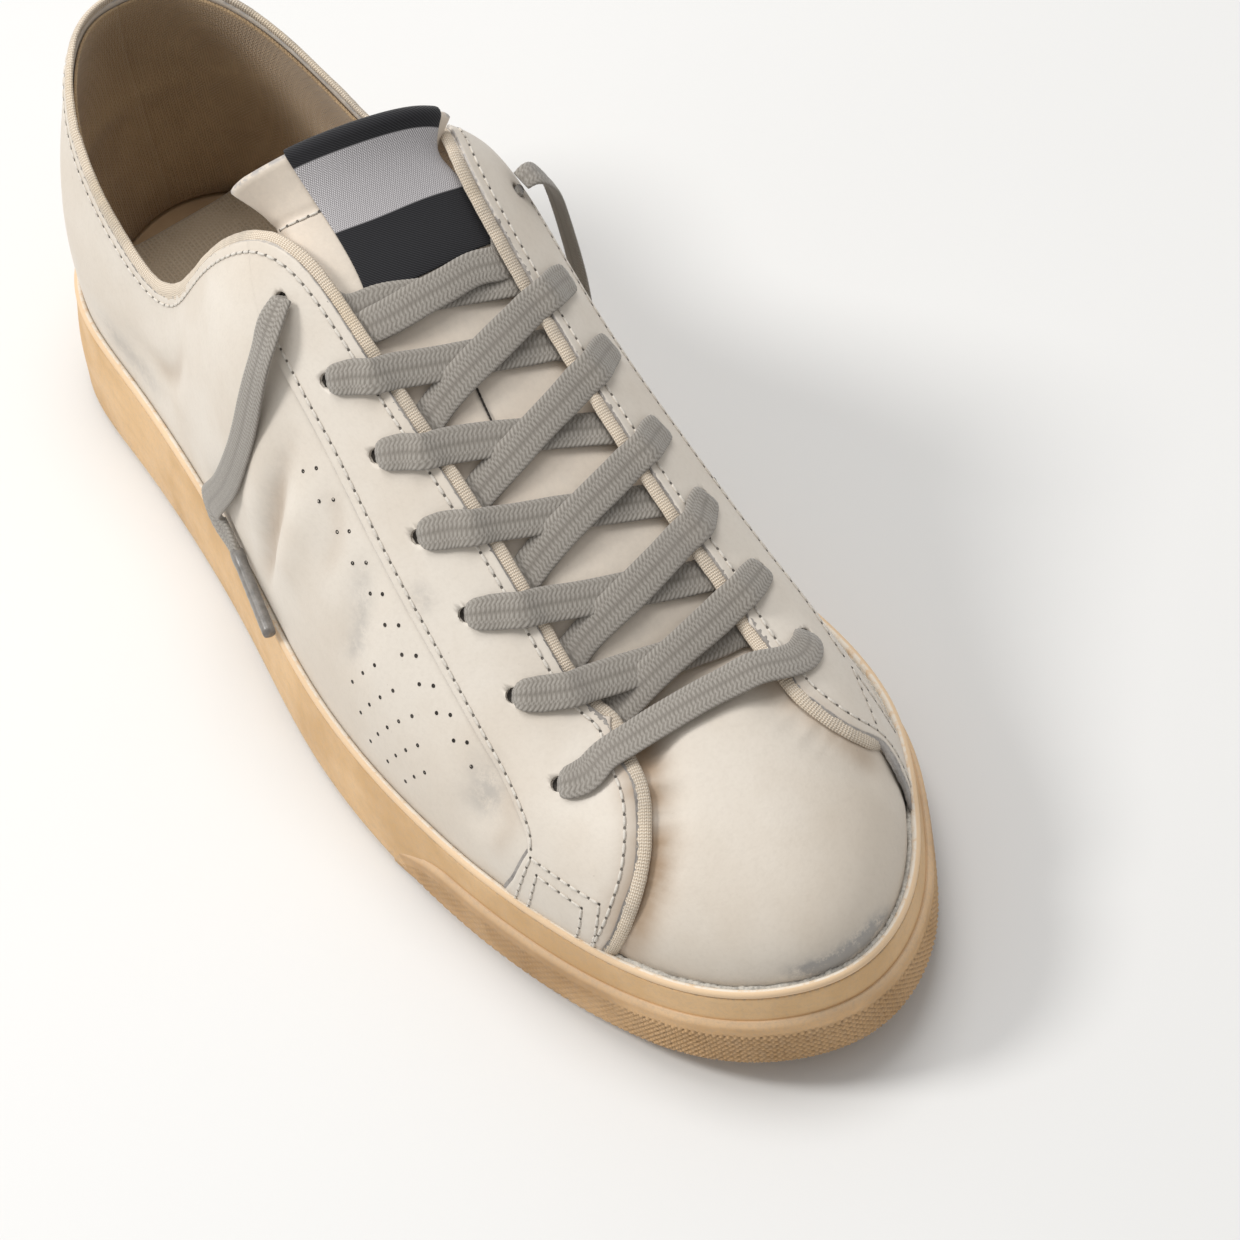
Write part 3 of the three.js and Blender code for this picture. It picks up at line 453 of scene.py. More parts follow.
def sheet(name, points, normals, thickness, material, holes=(), values=None, uv=None, inside=None):
    """A grid of points with thickness behind it, round edges, and round holes punched through."""
    rows, columns = points.shape[:2]
    flat = points.reshape(-1, 3).copy()
    across = normals.reshape(-1, 3)
    if np.ndim(thickness) == 0:
        thickness = np.full(len(flat), float(thickness))
    back = flat - across * thickness[:, None]
    faces = grid_faces(rows, columns)
    middle = flat[faces].mean(1)
    cut = np.zeros(len(faces), bool)
    for centre, axis, radius in holes:
        gap = middle - centre
        deep = gap @ axis
        flatly = np.linalg.norm(gap - deep[:, None] * axis, axis=1)
        cut |= (flatly < radius) & (abs(deep) < 4)
    kept = faces[~cut]
    edges = {}
    for face in kept:
        for a, b in zip(face, np.roll(face, -1)):
            edges[(a, b)] = True
    for a, b in list(edges):
        if (b, a) in edges:
            edges.pop((a, b), None)
            edges.pop((b, a), None)
    rim = [(a, b) for a, b in edges if (b, a) not in edges]
    grid_edge = set()
    for i in range(rows):
        grid_edge.update((i * columns, i * columns + columns - 1))
    for j in range(columns):
        grid_edge.update((j, (rows - 1) * columns + j))
    for centre, axis, radius in holes:
        for k in {a for edge in rim for a in edge} - grid_edge:
            gap = flat[k] - centre
            if np.linalg.norm(gap) > 2.5 * radius + 2:
                continue
            for layer in (flat, back):
                gap = layer[k] - centre
                deep = gap @ axis
                out = gap - deep * axis
                layer[k] = centre + axis * deep + out * (radius / max(np.linalg.norm(out), 1e-6))
    count = len(flat)
    everything = [flat, back]
    body = [kept, (kept + count)[:, ::-1]]
    # the outer rim is rounded over half a circle, the rims of the holes are straight
    outer_rim = [(a, b) for a, b in rim if a in grid_edge and b in grid_edge]
    hole_rim = [(a, b) for a, b in rim if not (a in grid_edge and b in grid_edge)]
    body.append(np.array([(b, a, a + count, b + count) for a, b in hole_rim], int).reshape(-1, 4))
    order = sorted({a for edge in outer_rim for a in edge})
    number = {k: i for i, k in enumerate(order)}
    inward = {}
    for k in order:
        i, j = divmod(k, columns)
        i2, j2 = min(max(i, 1), rows - 2), min(max(j, 1), columns - 2)
        inward[k] = i2 * columns + j2
    keys = np.array(order)
    ahead = unit(flat[keys] - flat[[inward[k] for k in order]])
    ahead = unit(ahead - (ahead * across[keys]).sum(1, keepdims=True) * across[keys])
    half = thickness[keys, None] / 2
    core = flat[keys] - across[keys] * half
    rings = [keys]
    for angle in (45, 90, 135):
        c, s = math.cos(math.radians(angle)), math.sin(math.radians(angle))
        rings.append(2 * count + (len(rings) - 1) * len(keys) + np.arange(len(keys)))
        everything.append(core + (across[keys] * c + ahead * s * 0.8) * half)
    rings.append(keys + count)
    for first, second in zip(rings, rings[1:]):
        body.append(np.array([(first[number[b]], first[number[a]], second[number[a]], second[number[b]])
                              for a, b in outer_rim]))
    source = np.r_[np.arange(count), np.arange(count), keys, keys, keys]
    all_points = np.concatenate(everything)
    all_faces = np.concatenate(body)
    used = np.zeros(len(all_points), bool)
    used[all_faces.ravel()] = True
    renumber = np.cumsum(used) - 1
    all_values = {k: np.asarray(d).ravel()[source][used] for k, d in (values or {}).items()}
    rim_value = np.r_[np.zeros(2 * count), np.full(3 * len(keys), 1.0)]
    all_values["edge"] = rim_value[used]
    all_uv = None if uv is None else np.asarray(uv).reshape(-1, 2)[source][used]
    behind = None
    if inside:
        flag = np.zeros(len(all_faces), np.int32)
        flag[len(kept):2 * len(kept)] = 1
        behind = (inside, flag)
    return piece(name, all_points[used], renumber[all_faces], material, all_uv, all_values, behind)


def frames_along(path, up):
    """Forward, side and up directions at each place of a path."""
    forward = unit(np.gradient(path, axis=0))
    side = unit(np.cross(forward, up))
    return forward, side, np.cross(side, forward)


def sweep_points(path, side, up, section):
    """A closed section (side, up offsets; one for all, or one for each place) carried along a path."""
    section = np.asarray(section, float)
    if section.ndim == 2:
        section = np.broadcast_to(section, (len(path),) + section.shape)
    return path[:, None] + side[:, None] * section[..., :1] + up[:, None] * section[..., 1:2]


def swept(name, path, side, up, section, material, values=None):
    points = sweep_points(path, side, up, section)
    rows, columns = points.shape[:2]
    faces = list(map(tuple, grid_faces(rows, columns, False, True)))
    faces.append(tuple(range(columns))[::-1])
    faces.append(tuple((rows - 1) * columns + j for j in range(columns)))
    along = along_path(path)
    round_it = along_path(points[rows // 2])
    uv = np.stack(np.broadcast_arrays(round_it[None, :], along[:, None]), -1).reshape(-1, 2)
    spread = {k: np.broadcast_to(np.asarray(d)[:, None], (rows, columns)) for k, d in (values or {}).items()}
    return piece(name, points.reshape(-1, 3), faces, material, uv, spread)


def rounded(width, height, count=20, square=0.55):
    """A flat section with round edges, around its own middle."""
    a = np.linspace(0, 2 * math.pi, count, endpoint=False)
    c, s = np.cos(a), np.sin(a)
    return np.stack([np.sign(c) * abs(c) ** square * width / 2, np.sign(s) * abs(s) ** 0.8 * height / 2], -1)


def many(name, shapes, material, values=None):
    """Joins copies of small meshes, each as (points, faces), into one piece."""
    points, faces, base = [], [], 0
    for p, f in shapes:
        points.append(p)
        faces.extend([tuple(k + base for k in face) for face in f])
        base += len(p)
    return piece(name, np.concatenate(points), faces, material, None, values)


def capsule(a, b, up, radius, flat=0.7, rings=4, around=8):
    """A short thread from a to b, flatter than it is wide."""
    a, b = np.asarray(a, float), np.asarray(b, float)
    forward = unit(b - a)
    side = unit(np.cross(forward, up))
    top = np.cross(side, forward)
    points = [a - forward * radius * 0.3]
    for k in range(rings + 1):
        s = k / rings
        size = radius * math.sin(math.pi * (0.18 + 0.64 * s)) ** 0.5
        centre = a + (b - a) * s
        for j in range(around):
            angle = 2 * math.pi * j / around
            points.append(centre + side * math.cos(angle) * size + top * math.sin(angle) * size * flat)
    points.append(b + forward * radius * 0.3)
    faces = [(0, 1 + (j + 1) % around, 1 + j) for j in range(around)]
    for k in range(rings):
        for j in range(around):
            p, q = 1 + k * around, 1 + (k + 1) * around
            faces.append((p + j, p + (j + 1) % around, q + (j + 1) % around, q + j))
    last, p = len(points) - 1, 1 + rings * around
    faces += [(last, p + j, p + (j + 1) % around) for j in range(around)]
    return np.array(points), faces


def pit(centre, up, radius, around=12):
    """A punched hole: a small bowl with its rim on the surface, which takes a dark colour as painted shade.
    """
    up = unit(up)
    side = unit(np.cross(up, [0.3, 0.2, 0.93]))
    other = np.cross(up, side)
    points, faces = [], []
    for size, height in ((1.0, 0.0), (0.92, 0.07), (0.62, 0.02)):
        for j in range(around):
            a = 2 * math.pi * j / around
            points.append(centre + (side * math.cos(a) + other * math.sin(a)) * radius * size + up * height)
    points.append(centre - up * 0.02)
    for k in range(2):
        for j in range(around):
            faces.append((k * around + j, k * around + (j + 1) % around,
                          (k + 1) * around + (j + 1) % around, (k + 1) * around + j))
    faces += [(2 * around + j, 2 * around + (j + 1) % around, 3 * around) for j in range(around)]
    points.append(centre - up * 0.25)
    faces += [((j + 1) % around, j, 3 * around + 1) for j in range(around)]
    return np.array(points), faces


# ---- materials -----------------------------------------------------------------------------------------
class Look:
    """A principled material that is put together node by node."""

    def __init__(self, name, roughness=0.6, sheen=0.0, specular=0.35):
        self.material = bpy.data.materials.new(name)
        self.material.use_nodes = True
        self.tree = self.material.node_tree
        self.shader = self.tree.nodes["Principled BSDF"]
        self.shader.inputs["Roughness"].default_value = roughness
        self.shader.inputs["Sheen Weight"].default_value = sheen
        self.shader.inputs["Specular IOR Level"].default_value = specular
        self.place = self.node("ShaderNodeTexCoord").outputs["Object"]

    def node(self, kind, **settings):
        made = self.tree.nodes.new(kind)
        for key, value in settings.items():
            setattr(made, key, value)
        return made

    def link(self, source, target):
        if isinstance(source, (int, float)):
            target.default_value = source
        elif isinstance(source, tuple):
            needs_alpha = len(source) == 3 and len(target.default_value) == 4
            target.default_value = source + (1,) if needs_alpha else source
        else:
            self.tree.links.new(source, target)

    def noise(self, scale, detail=3.0, rough=0.55, where=None):
        made = self.node("ShaderNodeTexNoise")
        made.inputs["Scale"].default_value = scale
        made.inputs["Detail"].default_value = detail
        made.inputs["Roughness"].default_value = rough
        self.link(where or self.place, made.inputs["Vector"])
        return made.outputs["Fac"]

    def cells(self, scale, feature="F1"):
        made = self.node("ShaderNodeTexVoronoi", feature=feature)
        made.inputs["Scale"].default_value = scale
        self.link(self.place, made.inputs["Vector"])
        return made.outputs["Distance"]

    def value(self, name):
        return self.node("ShaderNodeAttribute", attribute_name=name).outputs["Fac"]

    def math(self, operation, a, b=0.0, c=0.0):
        made = self.node("ShaderNodeMath", operation=operation)
        for source, target in zip((a, b, c), made.inputs):
            self.link(source, target)
        return made.outputs[0]

    def ramp(self, source, low, high, to_low=0.0, to_high=1.0):
        made = self.node("ShaderNodeMapRange", interpolation_type="SMOOTHSTEP")
        for key, value in (("Value", source), ("From Min", low), ("From Max", high), ("To Min", to_low),
                           ("To Max", to_high)):
            self.link(value, made.inputs[key])
        return made.outputs["Result"]

    def mix(self, share, a, b, blend="MIX"):
        made = self.node("ShaderNodeMix", data_type="RGBA", blend_type=blend)
        self.link(share, made.inputs["Factor"])
        colour_a, colour_b = [socket for socket in made.inputs if socket.type == "RGBA"]
        self.link(a, colour_a)
        self.link(b, colour_b)
        return next(socket for socket in made.outputs if socket.type == "RGBA")

    def weave(self):
        """The two lengths of the weave map, in mm: across and along."""
        parts = self.node("ShaderNodeSeparateXYZ")
        self.link(self.node("ShaderNodeUVMap", uv_map="weave").outputs["UV"], parts.inputs[0])
        return parts.outputs[0], parts.outputs[1]

    def colour(self, source):
        self.link(source, self.shader.inputs["Base Color"])

    def rough(self, source):
        self.link(source, self.shader.inputs["Roughness"])

    def bump(self, *layers):
        """Layers of (height, distance in mm, strength)."""
        last = None
        for height, distance, strength in layers:
            made = self.node("ShaderNodeBump")
            made.inputs["Distance"].default_value = distance / 1000
            made.inputs["Strength"].default_value = strength
            self.link(height, made.inputs["Height"])
            if last is not None:
                self.link(last, made.inputs["Normal"])
            last = made.outputs["Normal"]
        self.link(last, self.shader.inputs["Normal"])


def leather(name, light, shade, dirt=(0.30, 0.29, 0.28)):
    look = Look(name, 0.52, 0.05, 0.4)
    cloud = look.ramp(look.noise(26, 4), 0.35, 0.68)
    base = look.mix(cloud, light, shade)
    fine = look.ramp(look.noise(900, 2), 0.4, 0.75)
    base = look.mix(look.math("MULTIPLY", fine, 0.10), base, tuple(0.7 * c for c in shade))
    speckle = look.math("MULTIPLY", look.ramp(look.noise(1500, 4, 0.8), 0.42, 0.66), 0.75)
    patches = look.ramp(look.noise(260, 5, 0.75), 0.30, 0.62)
    amount = look.math("MULTIPLY", look.value("grime"), look.math("MAXIMUM", speckle, patches))
    base = look.mix(look.math("MINIMUM", amount, 0.85), base, dirt)
    # Painted warm shade: a browner, darker leather colour where the SHADES lines fall.
    painted_shade = look.math("MULTIPLY", look.value("painted_shade"), look.ramp(look.noise(120, 3), 0.1, 0.6, 0.6, 1.0))
    base = look.mix(painted_shade, base, tuple(c * w for c, w in zip(shade, (0.54, 0.42, 0.31))))
    specks = look.ramp(look.noise(700, 2, 0.5), 0.76, 0.80)
    base = look.mix(look.math("MULTIPLY", specks, 0.35), base, (0.35, 0.30, 0.25))
    worn_edge = look.math("MULTIPLY", look.value("edge"), look.ramp(look.noise(500, 4, 0.7), 0.35, 0.6))
    base = look.mix(look.math("MULTIPLY", worn_edge, 0.8), base, (0.33, 0.32, 0.32))
    look.colour(base)
    look.rough(look.ramp(look.noise(90, 4), 0.3, 0.7, 0.46, 0.62))
    look.bump((look.noise(60, 5, 0.5), 0.7, 0.22), (look.noise(420, 4, 0.6), 0.12, 0.25),
              (look.cells(1500), 0.06, 0.30))
    return look.material


def suede(name, light, dark):
    look = Look(name, 0.95, 0.3, 0.1)
    fibre = look.ramp(look.noise(1300, 5, 0.8), 0.3, 0.7)
    patch = look.ramp(look.noise(140, 3), 0.35, 0.7)
    look.colour(look.mix(look.math("MULTIPLY", look.math("ADD", fibre, patch), 0.5), light, dark))
    look.bump((look.noise(1600, 5, 0.8), 0.25, 0.6))
    return look.material


def herringbone(name, light, dark, stain):
    """Cotton tape: columns of slanted threads that turn about, across a width in mm, with painted shade in
    its valleys.
    """
    look = Look(name, 0.9, 0.25, 0.15)
    across, along = look.weave()
    column = look.math("PINGPONG", across, 0.42)
    slant = look.math("MULTIPLY_ADD", column, 0.45, along)
    thread = look.math("SINE", look.math("MULTIPLY", slant, 2 * math.pi / 0.62))
    thread = look.math("MULTIPLY_ADD", thread, 0.5, 0.5)
    valley = look.ramp(look.math("ABSOLUTE", look.math("SUBTRACT", column, 0.21)), 0.12, 0.21)
    height = look.math("SUBTRACT", thread, look.math("MULTIPLY", valley, 0.9))
    fuzz = look.noise(2200, 3, 0.7)
    # Painted shade: the tape is darker where its threads and the valleys between columns lie low.
    tone = look.math("MULTIPLY_ADD", height, 0.55, look.math("MULTIPLY", fuzz, 0.35))
    base = look.mix(look.ramp(tone, 0.0, 0.85), dark, light)
    base = look.mix(look.math("MULTIPLY", look.ramp(look.noise(45, 4), 0.48, 0.72), 0.55), base, stain)
    base = look.mix(look.math("MULTIPLY", look.value("grime"), look.ramp(fuzz, 0.2, 0.6)), base,
                    (0.20, 0.19, 0.17))
    look.colour(base)
    look.bump((height, 0.16, 0.75), (fuzz, 0.12, 0.5))
    return look.material


def braid(name, light, dark):
    """Grey braided cotton. The strands stand up in the mesh; their fibres are here, and painted shade darkens
    the grooves between them.
    """
    look = Look(name, 0.92, 0.35, 0.12)
    across, along = look.weave()
    strand = look.value("strand")
    squeeze = look.node("ShaderNodeCombineXYZ")
    look.link(look.math("MULTIPLY", across, 3.4), squeeze.inputs[0])
    look.link(look.math("MULTIPLY", along, 1.6), squeeze.inputs[1])
    fibre = look.noise(2.4, 4, 0.8, squeeze.outputs[0])
    fuzz = look.noise(2600, 3, 0.8)
    # Painted shade: darker where the strand value is low, in the grooves between the raised strands.
    tone = look.math("ADD", look.math("MULTIPLY", strand, 0.62), look.math("MULTIPLY", fibre, 0.38))
    base = look.mix(look.ramp(tone, 0.12, 0.80), dark, light)
    base = look.mix(look.math("MULTIPLY", look.ramp(fuzz, 0.35, 0.75), 0.28), base, dark)
    base = look.mix(look.math("MULTIPLY", look.ramp(look.noise(60, 3), 0.5, 0.75), 0.25), base,
                    (0.33, 0.30, 0.27))
    look.colour(base)
    look.bump((fibre, 0.18, 0.7), (fuzz, 0.14, 0.6))
    return look.material


def rubber(name, light, shade, dirt, lip=(0.78, 0.59, 0.40), grain=0.25):
    look = Look(name, 0.62, 0.0, 0.35)
    base = look.mix(look.ramp(look.noise(30, 4), 0.35, 0.68), light, shade)
    streaks = look.node("ShaderNodeMapping")
    streaks.inputs["Scale"].default_value = (1, 1, 7)
    look.link(look.place, streaks.inputs["Vector"])
    line = look.ramp(look.noise(55, 4, 0.6, streaks.outputs[0]), 0.45, 0.75)
    base = look.mix(look.math("MULTIPLY", line, 0.30), base, shade)
    base = look.mix(look.value("lip"), base, lip)
    specks = look.ramp(look.noise(1000, 4, 0.75), 0.45, 0.62)
    amount = look.math("MULTIPLY", look.value("grime"), specks)
    base = look.mix(look.math("MINIMUM", amount, 0.9), base, dirt)
    base = look.mix(look.math("MULTIPLY", look.value("crust"), look.ramp(look.noise(450, 4, 0.7), 0.3, 0.55)),
                    base, (0.82, 0.76, 0.67))
    # Painted shade: darker rubber where the pit value marks the bumper's sunken grooves.
    base = look.mix(look.math("MULTIPLY", look.value("pit"), 0.85), base, tuple(0.42 * c for c in shade))
    look.colour(base)
    look.rough(look.ramp(look.noise(120, 4), 0.3, 0.7, 0.52, 0.74))
    look.bump((look.noise(90, 5, 0.6), 0.5, grain), (look.noise(1400, 4, 0.7), 0.10, 0.5))
    return look.material


def cloth(name, light, dark, pitch):
    """A plain weave with a pitch in mm, with painted shade in its low threads."""
    look = Look(name, 0.95, 0.3, 0.1)
    parts = look.node("ShaderNodeSeparateXYZ")
    look.link(look.place, parts.inputs[0])
    turn = 2 * math.pi * 1000 / pitch
    waves = [look.math("SINE", look.math("MULTIPLY", parts.outputs[k], turn)) for k in (0, 1, 2)]
    height = look.math("MAXIMUM", look.math("MULTIPLY", waves[0], waves[1]),
                       look.math("MULTIPLY", waves[1], waves[2]))
    patch = look.ramp(look.noise(60, 4), 0.3, 0.7)
    # Painted shade: darker where the weave lies low, mixed with random patches.
    tone = look.math("ADD", look.math("MULTIPLY", look.ramp(height, -0.6, 1.0), 0.45),
                     look.math("MULTIPLY", patch, 0.55))
    look.colour(look.mix(tone, dark, light))
    look.bump((height, 0.2, 0.5), (look.noise(1500, 4, 0.7), 0.12, 0.5))
    return look.material


def label_cloth(name):
    """A woven label with no words on it: a black field, a silver-grey band and a black top."""
    look = Look(name, 0.75, 0.15, 0.25)
    across, along = look.weave()
    ribs = look.math("SINE", look.math("MULTIPLY", across, 2 * math.pi / 0.42))
    picks = look.math("SINE", look.math("MULTIPLY", along, 2 * math.pi / 0.9))
    bright = look.ramp(look.math("MULTIPLY", ribs, picks), -0.5, 0.6)
    silver = look.mix(bright, (0.24, 0.23, 0.24), (0.62, 0.60, 0.61))
    twill = look.math("SINE", look.math("MULTIPLY", look.math("ADD", across, along), 2 * math.pi / 0.7))
    black = look.mix(look.ramp(twill, -0.4, 1.0), (0.008, 0.008, 0.010), (0.028, 0.028, 0.032))
    look.colour(look.mix(look.value("band"), black, silver))
    look.bump((twill, 0.10, 0.5), (look.noise(2200, 3, 0.7), 0.08, 0.5))
    return look.material


def plain(name, light, dark, scale, rough=0.8, bump_mm=0.1, specular=0.2):
    look = Look(name, rough, 0.1, specular)
    look.colour(look.mix(look.ramp(look.noise(scale, 4, 0.7), 0.3, 0.7), light, dark))
    look.bump((look.noise(scale * 2, 4, 0.7), bump_mm, 0.5))
    return look.material


IVORY = leather("ivory_leather", (0.700, 0.645, 0.572), (0.640, 0.572, 0.490))
VAMP_IVORY = leather("vamp_leather", (0.665, 0.605, 0.528), (0.610, 0.540, 0.455))
TONGUE_IVORY = leather("tongue_leather", (0.72, 0.640, 0.545), (0.68, 0.585, 0.485))
SUEDE = suede("grey_suede", (0.40, 0.37, 0.34), (0.16, 0.145, 0.135))
TAPE = herringbone("binding_tape", (0.88, 0.78, 0.65), (0.60, 0.49, 0.37), (0.68, 0.55, 0.38))
BRAID = braid("braided_cotton", (0.42, 0.390, 0.350), (0.205, 0.185, 0.160))
BAND_RUBBER = rubber("band_rubber", (0.735, 0.495, 0.265), (0.59, 0.375, 0.18), (0.30, 0.29, 0.28))
BUMPER_RUBBER = rubber("bumper_rubber", (0.69, 0.445, 0.23), (0.47, 0.285, 0.135), (0.33, 0.30, 0.27))
TREAD_RUBBER = rubber("tread_rubber", (0.56, 0.39, 0.23), (0.42, 0.28, 0.16), (0.30, 0.29, 0.28))
LINING = cloth("brown_lining", (0.50, 0.36, 0.215), (0.36, 0.25, 0.145), 0.9)
FOOTBED = cloth("footbed_cloth", (0.52, 0.43, 0.32), (0.34, 0.27, 0.19), 1.1)
LABEL = label_cloth("bare_label")
THREAD = plain("grey_thread", (0.72, 0.675, 0.61), (0.58, 0.535, 0.475), 1800, 0.85)
# Near-black colour painted into the eyelets as their shadow.
EYELET_PAINTED_SHADOW = plain("eyelet_shade", (0.115, 0.105, 0.095), (0.05, 0.045, 0.04), 1500, 0.95, 0.3)
# Dark painted shade for the needle holes of the stitches.
NEEDLE_HOLE = plain("needle_hole", (0.20, 0.18, 0.155), (0.10, 0.09, 0.08), 900, 0.9)
# Near-black painted shade for the punched holes and the tongue's cut.
HOLE = plain("punched_hole", (0.060, 0.052, 0.045), (0.018, 0.015, 0.013), 900, 0.9)
CRUST = plain("joint_crust", (0.70, 0.665, 0.60), (0.42, 0.40, 0.365), 900, 0.9)
AGLET = plain("aglet_film", (0.235, 0.22, 0.205), (0.13, 0.12, 0.11), 400, 0.28, 0.03, 0.6)


# ---- camera and cords ----------------------------------------------------------------------------------
CAMERA_TARGET = (210, 0, 40)
CAMERA_AWAY = 1220  # mm
CAMERA_AZIMUTH, CAMERA_ELEVATION, CAMERA_ROLL = 24.8, 51.4, -11.2
CAMERA_LENS, CAMERA_SENSOR = 169.374, 36  # mm
CAMERA_SHIFT = (-0.015645, 0.055726)  # shares of the frame's side
CAMERA_CLIP = (0.01, 50)  # m


def make_camera():
    a, e, r = (math.radians(v) for v in (CAMERA_AZIMUTH, CAMERA_ELEVATION, CAMERA_ROLL))
    back = np.array([math.cos(a) * math.cos(e), -math.sin(a) * math.cos(e), math.sin(e)])
    right = unit(np.cross([0, 0, 1], back))
    up = np.cross(back, right)
    turned_right = right * math.cos(r) + up * math.sin(r)
    turned_up = -right * math.sin(r) + up * math.cos(r)
    data = bpy.data.cameras.new("camera")
    data.sensor_width, data.lens = CAMERA_SENSOR, CAMERA_LENS
    data.shift_x, data.shift_y = CAMERA_SHIFT
    data.clip_start, data.clip_end = CAMERA_CLIP
    camera = bpy.data.objects.new("camera", data)
    camera.location = metres(np.array(CAMERA_TARGET) + back * CAMERA_AWAY)
    turn = Matrix(np.stack([turned_right, turned_up, back], 1).tolist())
    camera.rotation_euler = turn.to_euler()
    bpy.context.scene.collection.objects.link(camera)
    bpy.context.scene.camera = camera


make_camera()

BRAID_COLUMNS = 6
BRAID_PITCH = 1.02
BRAID_SLOPE = 0.95
BRAID_HIGH = 0.17


LACE_STEP, LACE_ROUND = 0.31, 44  # mm along the lace, and points round it


def lace(name, path, up, width=None, thick=LACE_THICK, wander=0.0, seed=0):
    """A flat braided lace along a path, with its strands raised in the mesh."""
    total = length_of(path)
    count = max(12, int(total / LACE_STEP))
    both = open_spline(np.concatenate([path, np.asarray(up)], 1), count)
    line = both[:, :3]
    _, side, over = frames_along(line, unit(both[:, 3:]))
    along = along_path(line)
    share = along / along[-1]
    wide = np.full(count, LACE_WIDE)
    if width is not None:
        wide = np.interp(share, *width)
    wave = np.sin(along / 7.3 + seed) * 0.5 + np.sin(along / 3.9 + 2.1 * seed) * 0.5
    wide = wide * (1 + 0.035 * wave)
    line = line + side * (wave * wander)[:, None]
    flat = rounded(1.0, 1.0, LACE_ROUND, 0.74)
    sections = np.stack([flat[None, :, 0] * wide[:, None],
                         flat[None, :, 1] * (thick * (LACE_WIDE / wide) ** 0.45)[:, None]], -1)
    column = (flat[None, :, 0] + 0.5) * BRAID_COLUMNS
    inside = column - np.floor(column)
    way = np.where(np.floor(column).astype(int) % 2 == 0, 1, -1)
    phase = along[:, None] / BRAID_PITCH + way * inside * BRAID_SLOPE
    phase = phase + (flat[None, :, 1] < 0) * 0.5 + seed * 0.37
    crown = 0.35 + 0.65 * np.sin(math.pi * inside) ** 0.5
    strand = (0.5 + 0.5 * np.cos(2 * math.pi * phase)) ** 0.8 * crown
    outwards = unit(np.stack([flat[:, 0] * 0.4, flat[:, 1]], -1))[None]
    sections = sections + outwards * ((strand - 0.5) * BRAID_HIGH)[..., None]
    thing = swept(name, line, side, over, sections, BRAID)
    layer = thing.data.attributes.new(name="strand", type="FLOAT", domain="POINT")
    layer.data.foreach_set("value", strand.astype(np.float32).ravel())
    mesh = thing.data
    loops = np.empty(len(mesh.loops), dtype=np.int32)
    mesh.loops.foreach_get("vertex_index", loops)
    uv = np.stack(np.broadcast_arrays(flat[None, :, 0] * wide[:, None], along[:, None]), -1).reshape(-1, 2)
    mesh.uv_layers["weave"].data.foreach_set("uv", uv[loops].ravel())
    return thing, line


def loose_end(name, points, tip, side):
    """A loose end with its aglet, in place of the part's lace end and aglet."""
    points = np.array(points, float)
    ups = []
    for i in range(len(points)):
        forward = unit(points[min(i + 1, len(points) - 1)] - points[max(i - 1, 0)])
        across = unit(np.cross(forward, (0.2, side * 0.7, 0.7) if i < 2 else (0, side, 0.2)))
        ups.append(np.cross(across, forward))
    width = ([0, 0.03, 0.10, 0.90, 0.97, 1], [5.0, 5.8, LACE_WIDE, LACE_WIDE, 5.0, 2.8])
    cord, line = lace(name, points, ups, width, seed=3 if side < 0 else 5)
    start, tip = points[-1], np.array(tip, float)
    ahead = unit(tip - start)
    rod = np.linspace(0, 1, 26)[:, None] * (tip - start + ahead * 1.5) + start - ahead * 1.5
    bulge = 1.5 + 0.16 * np.exp(-((np.arange(26) - 2) / 1.5) ** 2) + 0.03 * np.sin(np.arange(26) * 2.1)
    bulge[-1] *= 0.9
    _, across, over = frames_along(rod, np.tile((0, side, 0.2), (26, 1)))
    section = rounded(2.0, 2.0, 18, 1.0)[None] * bulge[:, None, None]
    aglet = swept(name.replace("lace_end", "aglet_tip"), rod, across, over, section, AGLET)
    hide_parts(name)
    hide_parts(name.replace("lace_end", "aglet"))
    return cord, aglet, line


for _name, _points, _tip, _side in (("lace_end_lateral", LATERAL_END, LATERAL_TIP, -1),
                                    ("lace_end_medial", MEDIAL_END, MEDIAL_TIP, 1)):
    _cord, _aglet, _line = loose_end(_name, _points, _tip, _side)


# ---- upper ---------------------------------------------------------------------------------------------
# The front edge of each quarter, from the throat's corner down to the sole: x on the outline, v.
FRONT = {
    -1: [(244, 1.0), (252, 0.915), (260.2, 0.834), (264.2, 0.74), (263.9, 0.672), (262.4, 0.55),
         (259.5, 0.44), (255.8, 0.27), (252.4, 0.139), (251, 0.03)],
    1: [(237.5, 1.0), (247, 0.94), (255.5, 0.872), (261.2, 0.80), (264, 0.72), (263.8, 0.65), (262.6, 0.57),
        (259.8, 0.48), (258.5, 0.40), (259.5, 0.30), (261.0, 0.18), (261.0, 0.03)],
}
